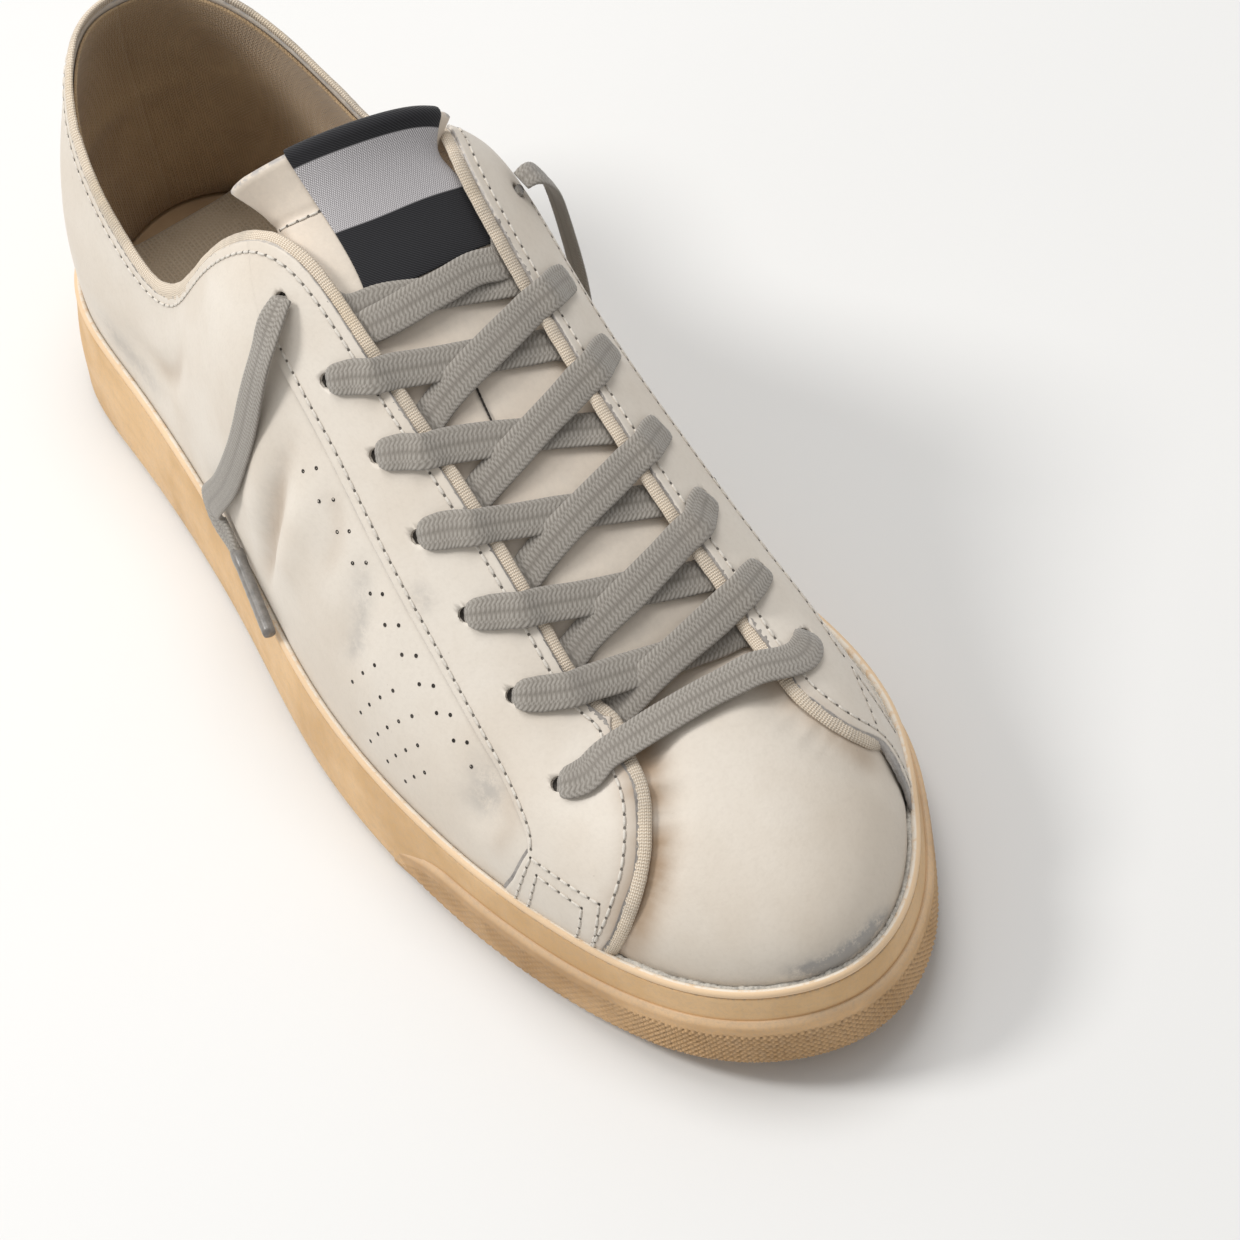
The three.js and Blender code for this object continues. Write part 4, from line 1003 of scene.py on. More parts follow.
# The seam under the eyelets down to the foot of the eyestay, and the raw back edge of that foot.
EYESTAY_SEAM = {
    -1: [(118, 0.93), (124, 0.86), (132.5, 0.803), (143.1, 0.784), (154.2, 0.772), (167.4, 0.741),
         (180.5, 0.71), (189.3, 0.695), (198.1, 0.68), (207.5, 0.664), (217.9, 0.637), (226.9, 0.583),
         (232.3, 0.50), (233, 0.46)],
    1: [(118, 0.90), (124, 0.84), (132.5, 0.79), (143.1, 0.775), (154.2, 0.765), (167.4, 0.741),
        (180.5, 0.71), (189.3, 0.695), (198.1, 0.68), (207.5, 0.668), (217.9, 0.655), (228, 0.63),
        (235.5, 0.585), (238, 0.55)],
}
FOOT_BACK = {
    -1: [(233, 0.46), (231.4, 0.38), (228.8, 0.25), (225.2, 0.11), (224.5, 0.03)],
    1: [(238, 0.55), (240.5, 0.47), (243.2, 0.36), (245, 0.20), (245.5, 0.03)],
}
ON_EYESTAY, ON_QUARTER = 1.55, 0.85


def on_last(side, rows):
    return [(station(side, x), v) for x, v in rows]


def front_curve(side, count):
    """The front edge as places on the last, from the throat down."""
    line = open_spline(on_last(side, FRONT[side]), count)
    return np.stack([line[:, 0], np.clip(line[:, 1], 0, 1)], -1)


def coons(low, high, back, front, rows, columns):
    """A smooth grid of places between four edges: low and high run along, back and front run up."""
    u = np.linspace(0, 1, rows)[:, None, None]
    w = np.linspace(0, 1, columns)[None, :, None]
    low, high = (open_spline(edge, rows)[:, None] for edge in (low, high))
    back, front = (open_spline(edge, columns)[None] for edge in (back, front))
    corners = ((1 - u) * (1 - w) * low[:1] + u * (1 - w) * low[-1:]
               + (1 - u) * w * high[:1] + u * w * high[-1:])
    return (1 - w) * low + w * high + (1 - u) * back + u * front - corners


def eyelet_holes(side, radius=EYELET_RADIUS):
    found = []
    for x, v in EYELETS[side]:
        t = station(side, x)
        found.append((outer(t, v), normal(t, v), radius))
    return found


def leather_grid(places, height):
    """Points and normals of a layer on the last, creased, at a height above its outer face."""
    t, v = places[..., 0], np.clip(places[..., 1], 0, 1)
    p, n = outer(t, v), normal(t, v)
    # Besides the dirt, each point gets its share of painted warm shade from the SHADES lines.
    return p + n * (creased(p) + height)[..., None], n, {"grime": grime(p, t), "painted_shade": painted_shade_at(p)}


# How many points each layer has round the shoe and up the last, and its thickness in mm.
VAMP_GRID, LINING_GRID, QUARTER_GRID = (200, 90), (200, 40), (200, 76)
VAMP_THICK, LINING_THICK, QUARTER_THICK, EYESTAY_THICK = 1.1, 0.75, 1.9, 0.75
VAMP_FROM = {-1: 222, 1: 226}  # where it starts under the quarters, as x on the outline
ON_LINING = -1.25


def throat_foot(t):
    """How far up the last the layers under the flaps reach: in front their edge lies under the bar."""
    return 1 - 0.075 * ease((outline(t)[..., 0] - 240) / 16)


def vamp():
    """The front of the upper, from under one quarter round the toe to under the other."""
    rows, columns = VAMP_GRID
    t = np.linspace(station(-1, VAMP_FROM[-1]), station(1, VAMP_FROM[1]), rows)[:, None]
    v = np.linspace(0.03, 1, columns)[None, :] * throat_foot(t)
    places = np.stack(np.broadcast_arrays(t, v), -1)
    p, n, values = leather_grid(places, 0)
    holes = eyelet_holes(-1)[:1] + eyelet_holes(1)[:1]
    return sheet("vamp", p, n, VAMP_THICK, VAMP_IVORY, holes, values)


def lining():
    """The inner layer all round, closed at the heel."""
    rows, columns = LINING_GRID
    t = np.linspace(0, AT_END, rows)[:, None]
    v = np.linspace(0.01, 0.985, columns)[None, :] * throat_foot(t)
    places = np.stack(np.broadcast_arrays(t, v), -1)
    p, n, _ = leather_grid(places, ON_LINING)
    holes = eyelet_holes(-1) + eyelet_holes(1)
    return sheet("lining", p, n, LINING_THICK, LINING, holes)


def heel_middle(side):
    return 0.0 if side < 0 else AT_END


def quarter(side):
    """One side of the upper from the heel seam to the front edge, on top of the vamp."""
    front = front_curve(side, 60)[::-1]
    heel = heel_middle(side)
    low = [(heel + (front[0, 0] - heel) * s, 0.03) for s in np.linspace(0, 1, 12)]
    high = [(heel + (front[-1, 0] - heel) * s, 1.0) for s in np.linspace(0, 1, 12)]
    back = [(heel, v) for v in np.linspace(0.03, 1, 6)]
    places = coons(low, high, back, front, *QUARTER_GRID)
    p, n, values = leather_grid(places, ON_QUARTER)
    name = "quarter_lateral" if side < 0 else "quarter_medial"
    return sheet(name, p, n, QUARTER_THICK, IVORY, eyelet_holes(side), values)


def even(points, scale, count):
    """Places spread evenly along a line of places, measured with a scale."""
    gone = along_path(points * scale)
    spread = np.linspace(0, gone[-1], count)
    return np.stack([np.interp(spread, gone, points[:, k]) for k in range(points.shape[1])], -1)


PLACE_SCALE = np.array([18.0, 60.0])  # roughly mm for each unit of t and of v


def eyestay(side):
    """The reinforced front of a quarter: it carries the eyelets and reaches down to the sole."""
    along_throat, down_foot, columns = 150, 56, 42
    seam = even(open_spline(on_last(side, EYESTAY_SEAM[side]), 120), PLACE_SCALE, along_throat)
    foot = even(open_spline(on_last(side, FOOT_BACK[side]), 60), PLACE_SCALE, down_foot)
    front = front_curve(side, 120)
    turn = int(np.argmin(abs(front[:, 1] - seam[-1, 1] + 0.02)))
    ankle_t = station(side, 113)
    top = np.linspace((ankle_t, 1.0), front[0], 60)[:-1]
    above = even(np.concatenate([top, front[:turn + 1]]), PLACE_SCALE, along_throat)
    before = even(front[turn:], PLACE_SCALE, down_foot)
    low = np.concatenate([seam, foot[1:]])
    high = np.concatenate([above, before[1:]])
    w = np.linspace(0, 1, columns)[None, :, None]
    p, n, values = leather_grid((1 - w) * low[:, None] + w * high[:, None], ON_EYESTAY)
    name = "eyestay_lateral" if side < 0 else "eyestay_medial"
    return sheet(name, p, n, EYESTAY_THICK, IVORY, eyelet_holes(side), values)


def along_last(side, rows, count, height):
    """A path on the last at a height, with its surface normals."""
    line = open_spline(on_last(side, rows), count)
    t, v = line[:, 0], np.clip(line[:, 1], 0, 1)
    p, n = outer(t, v), normal(t, v)
    return p + n * (creased(p) + height)[:, None], n


def edge_path(side, count=520):
    """The free edge of a quarter, from the heel round collar and throat and down the front to the sole:
    points, normals, the directions away from the leather, and places on the last."""
    heel = heel_middle(side)
    front = front_curve(side, 60)
    top_t = np.linspace(heel, front[0, 0], 260)
    places = np.concatenate([np.stack([top_t, np.ones(260)], -1), front[1:]])
    p, n = outer(places[:, 0], places[:, 1]), normal(places[:, 0], places[:, 1])
    p = p + n * creased(p)[:, None]
    gone = along_path(p)
    spread = np.linspace(0, gone[-1], count)
    both = np.concatenate([p, n, places], 1)
    both = np.stack([np.interp(spread, gone, both[:, k]) for k in range(8)], -1)
    for _ in range(40):
        both[1:-1] = both[1:-1] * 0.5 + (both[:-2] + both[2:]) * 0.25
    p, n = both[:, :3], unit(both[:, 3:6])
    away = unit(np.cross(unit(np.gradient(p, axis=0)), n)) * side
    return p, n, away, both[:, 6:]


EDGES = {side: edge_path(side) for side in (-1, 1)}


def tape(side):
    """Cotton tape that binds the free edge: it shows as a band beyond the leather."""
    p, n, away, places = EDGES[side]
    count = len(p)
    front_part = ease((0.985 - places[:, 1]) / 0.12)
    wide = 2.9 + 0.3 * front_part
    lift = 0.15 + 0.55 * front_part
    if side > 0:  # on the medial side it runs out into a point above the sole
        wide = wide * np.where(front_part > 0, 0.15 + 0.85 * ease((places[:, 1] - 0.36) / 0.16), 1)
    profile = [(-2.6, -0.25), (-2.5, 0.45), (-0.8, 0.62), (0.10, 0.66), (0.34, 0.74), (0.60, 0.58),
               (0.82, 0.26), (0.97, -0.20), (1.0, -0.62), (0.88, -0.95), (0.6, -0.98), (0.2, -0.80),
               (-0.8, -0.60), (-2.4, -0.55)]
    section = np.zeros((count, len(profile), 2))
    for k, (a, b) in enumerate(profile):
        section[:, k, 0] = np.where(a > 0, a * wide, a)
        section[:, k, 1] = b + lift
    rng = np.random.default_rng(11 + side)
    wobble = np.convolve(rng.normal(0, 1, count + 30), np.ones(24) / 24, "same")[15:-15]
    section[..., 0] += wobble[:, None] * 0.55
    section[..., 1] += np.roll(wobble, 60)[:, None] * 0.30
    dirt = 0.30 * ease((wobble + 0.1) / 0.3) + 0.5 * np.exp(-((places[:, 1] - 0.06) / 0.13) ** 2) * front_part
    name = "tape_lateral" if side < 0 else "tape_medial"
    return swept(name, p, away, n, section, TAPE, {"grime": dirt})


def raw_edge(name, p, n, away, wide, height, seed):
    """A frayed grey edge of suede that looks out from under the white leather."""
    count = len(p)
    rng = np.random.default_rng(seed)
    profile = np.array([(-1.2, -0.75), (-1.0, -0.15), (0.0, -0.08), (0.6, -0.12), (1.0, -0.30), (1.05, -0.85),
                        (0.3, -1.0)])
    section = np.broadcast_to(profile, (count,) + profile.shape).copy()
    across = section[..., 0]
    section[..., 0] = np.where(across > 0, across * np.asarray(wide)[:, None], across)
    section[..., 1] += np.broadcast_to(height, count)[:, None]
    section += rng.normal(0, 0.07, section.shape) * (section[..., :1] > -0.5)
    return swept(name, p, away, n, section, SUEDE, {"grime": np.zeros(count)})


def raw_edges(side):
    p, n, away, places = EDGES[side]
    front_part = ease((0.96 - places[:, 1]) / 0.2)
    wide = 0.35 + 0.85 * front_part
    if side > 0:  # the under-leather widens where the tape has run out
        wide = wide + 3.0 * ease((0.46 - places[:, 1]) / 0.16)
    word = "lateral" if side < 0 else "medial"
    past_ankle = ease((p[:, 0] - 108) / 8)
    height = ON_QUARTER + (ON_EYESTAY - ON_QUARTER) * past_ankle
    made = [raw_edge("raw_edge_" + word, p, n, away, wide, height, 5 + side)]
    q, m = along_last(side, FOOT_BACK[side], 90, 0)
    back = unit(np.cross(m, unit(np.gradient(q, axis=0)))) * side
    if side > 0:
        wide = 1.6 + 0.5 * np.sin(np.linspace(0, 3, 90))
    else:
        wide = np.full(90, 0.55)
    made.append(raw_edge("raw_foot_edge_" + word, q, m, -back, wide, ON_EYESTAY - 0.25, 8 + side))
    return made


def stitches(name, lines, pitch=2.8, thread=0.36, spare=0.30):
    """Rows of stitches: a sunk thread between two needle holes, drawn as dark pits of painted shade. lines
    are (points, normals).
    """
    threads, holes = [], []
    for p, n in lines:
        along = along_path(p)
        marks = np.linspace(0, along[-1], int(round(along[-1] / pitch)) + 1)
        at = np.stack([np.interp(marks, along, p[:, k]) for k in range(3)], -1)
        up = unit(np.stack([np.interp(marks, along, n[:, k]) for k in range(3)], -1))
        for a, b, u in zip(at[:-1], at[1:], up[:-1]):
            gap = (b - a) * spare / 2
            threads.append(capsule(a + gap + u * 0.14, b - gap + u * 0.14, u, thread))
        for a, u in zip(at, up):
            holes.append(pit(a + u * 0.02, u, 0.34, 7))
    many(name, threads, THREAD)
    many(name + "_needle_holes", holes, NEEDLE_HOLE)


def panels():
    made = [vamp(), lining()]
    for side in (-1, 1):
        made += [quarter(side), eyestay(side), tape(side)] + raw_edges(side)
    for panel in made:
        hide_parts("upper")


panels()


def nearest_on_last(points, t_guess, v_guess):
    """Places (t, v) of points near guesses, by a few steps of Newton's method."""
    t, v = np.array(t_guess, float), np.array(v_guess, float)
    for _ in range(8):
        e = 1e-3
        p = outer(t, v)
        dt = (outer(t + e, v) - p) / e
        v_high, v_low = np.minimum(v + e, 1), np.maximum(v - e, 0)
        dv = (outer(t, v_high) - outer(t, v_low)) / (v_high - v_low)[..., None]
        gap = points - p
        a11, a12, a22 = (dt * dt).sum(-1), (dt * dv).sum(-1), (dv * dv).sum(-1)
        b1, b2 = (dt * gap).sum(-1), (dv * gap).sum(-1)
        det = a11 * a22 - a12**2
        t = t + np.clip((a22 * b1 - a12 * b2) / det, -0.5, 0.5)
        v = np.clip(v + np.clip((a11 * b2 - a12 * b1) / det, -0.1, 0.1), 0, 1)
    return t, v


def edge_row(side, inset, height, first, last):
    """A stitch row inside the free edge, on the leather."""
    p, n, away, places = EDGES[side]
    span = slice(int(first * len(p)), int(last * len(p)))
    q = (p - away * inset)[span]
    t, v = nearest_on_last(q, places[span, 0], np.minimum(places[span, 1], 0.97))
    p, n = outer(t, v), normal(t, v)
    return p + n * (creased(p) + height)[:, None], n


# The squares stitched twice round at the foot of the eyestay: across the top, the front, the back.
FOOT_SQUARES = {
    -1: [[(233.8, 0.447), (243, 0.432), (253.6, 0.402)], [(253.6, 0.402), (252.2, 0.26), (249.6, 0.12)],
         [(233.8, 0.447), (231.6, 0.29), (228.4, 0.12)], [(236.0, 0.385), (242, 0.372), (248.8, 0.350)],
         [(248.8, 0.350), (247.6, 0.23), (245.4, 0.12)], [(236.0, 0.385), (234.4, 0.25), (232.0, 0.12)]],
    1: [[(240.5, 0.53), (247, 0.51), (255.5, 0.47)], [(240.5, 0.53), (244.6, 0.38), (247, 0.20)]],
}


def stitch_rows():
    for side, word in ((-1, "lateral"), (1, "medial")):
        p = EDGES[side][0]
        ankle = int(np.argmin(abs(EDGES[side][3][:, 0] - station(side, 114)))) / len(p)
        rows = [edge_row(side, 2.0, ON_EYESTAY, ankle, 0.985), edge_row(side, 2.0, ON_QUARTER, 0.01, ankle)]
        seam = [(x + 0.5, v + 0.024) for x, v in EYESTAY_SEAM[side][2:]]
        rows.append(along_last(side, seam, 200, ON_EYESTAY))
        rows += [along_last(side, square, 60, ON_EYESTAY) for square in FOOT_SQUARES[side]]
        stitches("stitches_" + word, rows)


stitch_rows()


ZIGZAG_FROM, ZIGZAG_STEP, ZIGZAG_COUNT, ZIGZAG_BELOW = 150, 3.05, 21, (0.105, 0.060)
VENT_ROWS_AT, VENT_ROWS_STEP = (187, 0.36), (6.4, 0.062)
VENT_RADIUS, VENT_SIDES = 0.47, 10


def vents(side):
    """Small punched holes, drawn as dark bowls of painted shade: a zigzag row that follows the eyestay, and
    five rows of 3 to 5 holes below it.
    """
    seam = EYESTAY_SEAM[side][2:]
    holes = []
    for step in range(ZIGZAG_COUNT):
        x = ZIGZAG_FROM + ZIGZAG_STEP * step
        v = np.interp(x, [a for a, _ in seam], [b for _, b in seam])
        holes.append((x, v - ZIGZAG_BELOW[step % 2]))
    for row in range(-2, 3):
        for column in range(5 - abs(row)):
            x = VENT_ROWS_AT[0] + VENT_ROWS_STEP[0] * (column - (4 - abs(row)) / 2)
            holes.append((x, VENT_ROWS_AT[1] + VENT_ROWS_STEP[1] * row))
    shapes = []
    for x, v in holes:
        t = station(side, x)
        p, n = outer(t, v), normal(t, v)
        shapes.append(pit(p + n * (creased(p[None])[0] + ON_QUARTER + 0.01), n, VENT_RADIUS, VENT_SIDES))
    many("vents_lateral" if side < 0 else "vents_medial", shapes, HOLE)


for _side in (-1, 1):
    vents(_side)


def eyelet_shades():
    """Painted shadow: a dark bowl a little way down each eyelet, where the hole lies in shade."""
    holes = eyelet_holes(-1) + eyelet_holes(1)
    shapes = [pit(centre + axis * 0.1, axis, 1.85, 20) for centre, axis, _ in holes]
    many("eyelet_shades", shapes, EYELET_PAINTED_SHADOW)


eyelet_shades()


def heel_tab():
    """A plain strip over the heel seam, from the sole to the collar."""
    rows, columns = 70, 28
    v = np.linspace(0.05, 0.985, rows)[:, None]
    half = 0.62 - 0.22 * np.sin(math.pi * np.clip(v, 0, 1)) ** 1.2
    t = np.linspace(-1, 1, columns)[None, :] * half
    places = np.stack(np.broadcast_arrays(t, v), -1)
    p, n, values = leather_grid(places, ON_QUARTER + 0.9)
    thing = sheet("heel_tab", p, n, 0.95, IVORY, values=values)
    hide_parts("upper")
    lines = []
    for side in (-1, 1):
        s = np.linspace(0.08, 0.96, 120)
        t = side * (0.62 - 0.22 * np.sin(math.pi * s) ** 1.2 - 0.10)
        p, n = outer(t, s), normal(t, s)
        lines.append((p + n * (creased(p) + ON_QUARTER + 0.9)[:, None], n))
    stitches("stitches_heel", lines)


heel_tab()


# ---- tongue --------------------------------------------------------------------------------------------
TONGUE_NECK = [
    (106.5, -14.5, 106.5), (107.5, -13.8, 109.3), (109.5, -10.5, 112), (111.5, -4, 114.8), (113, 4, 116.2),
    (114.5, 12, 116.2), (116, 18.5, 114.5), (116.5, 21.5, 111.5), (115.5, 22, 108.5),
]
TONGUE_TOP = [
    (99.5, -18.5, 113), (101, -16.5, 115.8), (103, -12, 118.5), (105.5, -5, 121), (108.5, 4, 122.5),
    (111, 13, 122.5), (112.5, 20.5, 120.8), (113, 25, 118), (112.5, 27.5, 115),
]


def tongue_row(s):
    ends = [(station(-1, 234), station(-1, 128)), (station(1, 235), station(1, 131))]
    lateral, medial = (a + (b - a) * s for a, b in ends)
    tuck = TONGUE_TUCK * (1 - 0.82 * float(ease((s - 0.6) / 0.4)))
    sink = 1.2 * (1 - float(ease(s / 0.15)))
    down = -UNDER_FLAP - sink
    edge_a, edge_b = lifted(lateral, 1, down), lifted(medial, 1, down)
    across = [edge_a + (edge_b - edge_a) * c + np.array([0.5, 0, 0.87]) * TONGUE_CROWN * 4 * c * (1 - c)
              for c in (0.2, 0.5, 0.8)]
    return [lifted(lateral, 1 - tuck, down), lifted(lateral, 1 - tuck / 2, down), edge_a, *across, edge_b,
            lifted(medial, 1 - tuck / 2, down), lifted(medial, 1 - tuck, down)]


def tongue_grid(rows, columns):
    start, end = station(-1, 243), station(1, 244)
    front = [lifted(start + (end - start) * i / 8, 0.8, -UNDER_FLAP - 0.4) for i in range(9)]
    raw = [front] + [tongue_row(s) for s in (0.05, 0.15, 0.26, 0.38, 0.51, 0.64, 0.77, 0.89, 1)]
    raw = np.array(raw + [TONGUE_NECK, TONGUE_TOP], float)
    wide = np.stack([open_spline(row, columns) for row in raw])
    return np.stack([open_spline(wide[:, j], rows) for j in range(columns)], 1)


def grid_normals(points):
    n = unit(np.cross(np.gradient(points, axis=0), np.gradient(points, axis=1)))
    return n if n[..., 2].mean() > 0 else -n


TONGUE_ROWS, TONGUE_COLUMNS = 190, 76
TONGUE = tongue_grid(TONGUE_ROWS, TONGUE_COLUMNS)
TONGUE_N = grid_normals(TONGUE)


def on_tongue(row, column, height=0.0):
    """Points of the tongue at places of its grid, between 0 and 1 along and across."""
    r = np.clip(np.asarray(row) * (TONGUE_ROWS - 1), 0, TONGUE_ROWS - 1.001)
    c = np.clip(np.asarray(column) * (TONGUE_COLUMNS - 1), 0, TONGUE_COLUMNS - 1.001)
    i, j = r.astype(int), c.astype(int)
    a, b = (r - i)[..., None], (c - j)[..., None]

    def blend(grid):
        return ((1 - a) * (1 - b) * grid[i, j] + a * (1 - b) * grid[i + 1, j] + (1 - a) * b * grid[i, j + 1]
                + a * b * grid[i + 1, j + 1])

    n = unit(blend(TONGUE_N))
    return blend(TONGUE) + n * np.asarray(height)[..., None], n


def tongue():
    along = np.linspace(0, 1, TONGUE_ROWS)[:, None]
    across = np.linspace(0, 1, TONGUE_COLUMNS)[None, :]
    thick = np.full((TONGUE_ROWS, TONGUE_COLUMNS), TONGUE_THICK - 0.2)
    # a cut line down the middle, a stitched fold near the top, and soft dents where the lace presses
    cut = 0.5 * np.exp(-((across - 0.482) / 0.009) ** 2)
    cut = cut * ease((along - 0.52) / 0.03) * ease((0.63 - along) / 0.02)
    fold = 0.35 * np.exp(-((along - 0.925) / 0.006) ** 2)
    dents = 0.35 * (0.5 + 0.5 * np.cos(along * 2 * math.pi * 7.2)) * np.exp(-((across - 0.5) / 0.25) ** 2)
    p = TONGUE - TONGUE_N * (cut + fold + dents * (along < 0.82))[..., None]
    dirt = 0.5 * cut / 0.7 + 0.10 * np.ones_like(cut)
    thing = sheet("tongue_leather", p, TONGUE_N, thick.ravel(), TONGUE_IVORY,
                  values={"grime": dirt}, inside=LINING)
    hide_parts("tongue")
    s = np.linspace(0.04, 0.96, 160)
    q, n = on_tongue(np.full(160, 0.918), s, np.full(160, 0.0))
    stitches("stitches_tongue", [(q, n)], 2.6, 0.3)


tongue()


def slit():
    """A short cut in the tongue's leather, seen between the laces: a thin dark thread of painted shade in the
    cut.
    """
    along = np.linspace(0.618, 0.562, 9)
    q, n = on_tongue(along, np.linspace(0.487, 0.474, 9), np.full(9, -0.12))
    shapes = [capsule(a, b, u, 0.26, 0.8) for a, b, u in zip(q[:-1], q[1:], n)]
    many("tongue_slit", shapes, HOLE)


slit()

# Places of the label's corners along and across the tongue, and where its silver band starts and stops.
LABEL_CORNERS = [(0.785, 0.262), (0.785, 0.905), (1.0, 0.285), (1.0, 0.93)]
LABEL_BAND = (0.882, 0.984)


def label():
    """A bare woven label: it lies on the tongue and folds over its top edge."""
    corners = LABEL_CORNERS
    rows, columns = 90, 56
    u = np.linspace(0, 1, rows)[:, None]
    w = np.linspace(0, 1, columns)[None, :]
    mix = [(1 - u) * (1 - w) * corners[0][k] + (1 - u) * w * corners[1][k] + u * (1 - w) * corners[2][k]
           + u * w * corners[3][k] for k in (0, 1)]
    row = np.minimum(mix[0], 1)
    p, n = on_tongue(row, mix[1], np.full((rows, columns), 0.55))
    # past the tongue's top edge it turns over and runs down behind
    extra = 14
    tip, tip_n = p[-1], n[-1]
    ahead = unit(p[-1] - p[-4])
    turned = []
    for k in range(1, extra + 1):
        angle = min(k / 7, 1) * math.pi
        radius = (TONGUE_THICK + 1.1) / 2
        centre = tip - tip_n * radius
        q = centre + (tip_n * math.cos(angle) + ahead * math.sin(angle)) * radius
        q = q - ahead * max(0, k - 7) * 1.6
        turned.append((q, unit(tip_n * math.cos(angle) + ahead * math.sin(angle))))
    p = np.concatenate([p] + [q[None] for q, _ in turned])
    n = np.concatenate([n] + [m[None] for _, m in turned])
    along = along_path(p[:, columns // 2])
    across = np.linspace(0, length_of(p[rows // 2]), columns)
    uv = np.stack(np.broadcast_arrays(across[None, :], along[:, None]), -1)
    start, stop = (along[rows - 1] * (place - corners[0][0]) / (1 - corners[0][0]) for place in LABEL_BAND)
    band = ((along > start) & (along < stop)).astype(float)
    values = {"band": np.broadcast_to(band[:, None], p.shape[:2]), "grime": np.zeros(p.shape[:2])}
    sheet("label_bare", p, n, 0.4, LABEL, values=values, uv=uv)


label()


# ---- laces ---------------------------------------------------------------------------------------------
def eyelet(side, row):
    x, v = EYELETS[side][row]
    return station(side, x), v


def over_flap_t(side, row):
    """The place round the outline that belongs to a part of a row."""
    whole = min(max(int(math.floor(row)), 0), 5)
    t, following = eyelet(side, whole)[0], eyelet(side, whole + 1)[0]
    return t + (following - t) * (row - whole)


def over_flap(side, row, v, height):
    """A place over or under the flap near an eyelet row, and the direction out of the leather."""
    t = over_flap_t(side, row)
    return lifted(t, v, height), normal(t, v)


def over_tongue(row_lateral, row_medial, share, height):
    """A place over the tongue between the two throat edges, height above the tongue's face."""
    a, up_a = over_flap(-1, row_lateral, 1, 0)
    b, up_b = over_flap(1, row_medial, 1, 0)
    up = unit(up_a + (up_b - up_a) * share)
    p = a + (b - a) * share + up * (TONGUE_CROWN * 4 * share * (1 - share) + height - UNDER_FLAP)
    return p, up


LACE_ON = ON_EYESTAY + LACE_THICK / 2 + 0.25


def into_eyelet(side, row, edge_t, edge_v=1.0):
    """Places that take a lace from where it crosses the throat's edge straight to an eyelet and down it.
    The lateral ends leave half of their eyelet open."""
    t, v = eyelet(side, row)
    stop = 0.02 if side < 0 else -0.05
    steps = [(0.66, LACE_ON + 0.35), (0.36, LACE_ON + 0.10), (0.14, LACE_ON - 0.30), (0.0, 0.35),
             (-0.04, -1.5), (-0.04, -3.2)]
    places = []
    for share, height in steps:
        share = share + stop
        at_t, at_v = t + (edge_t - t) * share, v + (edge_v - v) * share
        places.append((lifted(at_t, at_v, height), normal(at_t, at_v)))
    return places


def run(name, places, width, seed, replaced):
    path = np.array([p for p, _ in places])
    ups = np.array([u for _, u in places])
    thing, _ = lace(name, path, ups, width, wander=0.12, seed=seed)
    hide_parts(replaced)


# Where the bar crosses the two free edges (mm from the heel, height on the last), and its rise between them.
BAR_EDGES = {-1: (250.6, 0.870), 1: (269.0, 0.882)}
BAR_RISE = 1.5


def lace_bar():
    """The straight bar between the two lowest eyelets."""
    edges = {side: (station(side, x), v) for side, (x, v) in BAR_EDGES.items()}
    (a, up_a), (b, up_b) = ((lifted(*edges[side], LACE_ON + 0.5), normal(*edges[side])) for side in (-1, 1))
    places = into_eyelet(-1, 0, *edges[-1])[::-1]
    for share in (0, 0.15, 0.32, 0.5, 0.68, 0.85, 1):
        up = unit(up_a + (up_b - up_a) * share)
        places.append((a + (b - a) * share + up * (BAR_RISE * 4 * share * (1 - share)), up))
    places += into_eyelet(1, 0, *edges[1])
    run("lace_strand_bar", places, ([0, 0.05, 0.085, 0.13, 0.87, 0.915, 0.95, 1],
                                    [3.4, 5.0, 6.9, LACE_WIDE, LACE_WIDE, 6.9, 5.0, 3.4]), 0, "lace_bar")


# Where a strand comes out from under one edge, and crosses the other, as parts of a row past its own.
NEAR_EDGES = {-1: -0.18, 1: 0.03}
FAR_EDGES = {-1: 0.55, 1: 0.62}


def strand(side, row, height):
    """From under one flap at a row, over the tongue and the other flap, into the next eyelet up."""
    far = -side
    near_edge, far_edge = NEAR_EDGES[side], FAR_EDGES[far]
    places = []
    t, v = eyelet(side, row)
    places.append((lifted(t, v + 0.02, -3.6), normal(t, v)))
    for share, h in ((0.02, 0.9), (0.16, 1.1), (0.32, 1.3 + 0.7 * height), (0.48, 1.7 + height),
                     (0.64, 2.2 + height), (0.80, 3.2 + 0.7 * height), (0.93, 4.6)):
        along = row + near_edge + (far_edge - near_edge) * share
        places.append(over_tongue(along, along, share if side < 0 else 1 - share, h))
    places.append(over_flap(far, row + far_edge, 0.995, LACE_ON + 0.85))
    places += into_eyelet(far, row + 1, over_flap_t(far, row + far_edge))
    run(f"lace_strand_{row + 1}_{'a' if side < 0 else 'b'}", places,
        ([0, 0.08, 0.16, 0.85, 0.90, 0.935, 1], [5.5, 7.0, LACE_WIDE, LACE_WIDE, 6.9, 5.0, 3.4]),
        1 + 2 * row + (side > 0), f"lace_crossing_{row + 1}")


# Where the last two strands cross the throat's edges: rows at the lateral and at the medial edge.
TOP_ROWS = {-1: (5.05, 5.22), 1: (5.36, 4.95)}


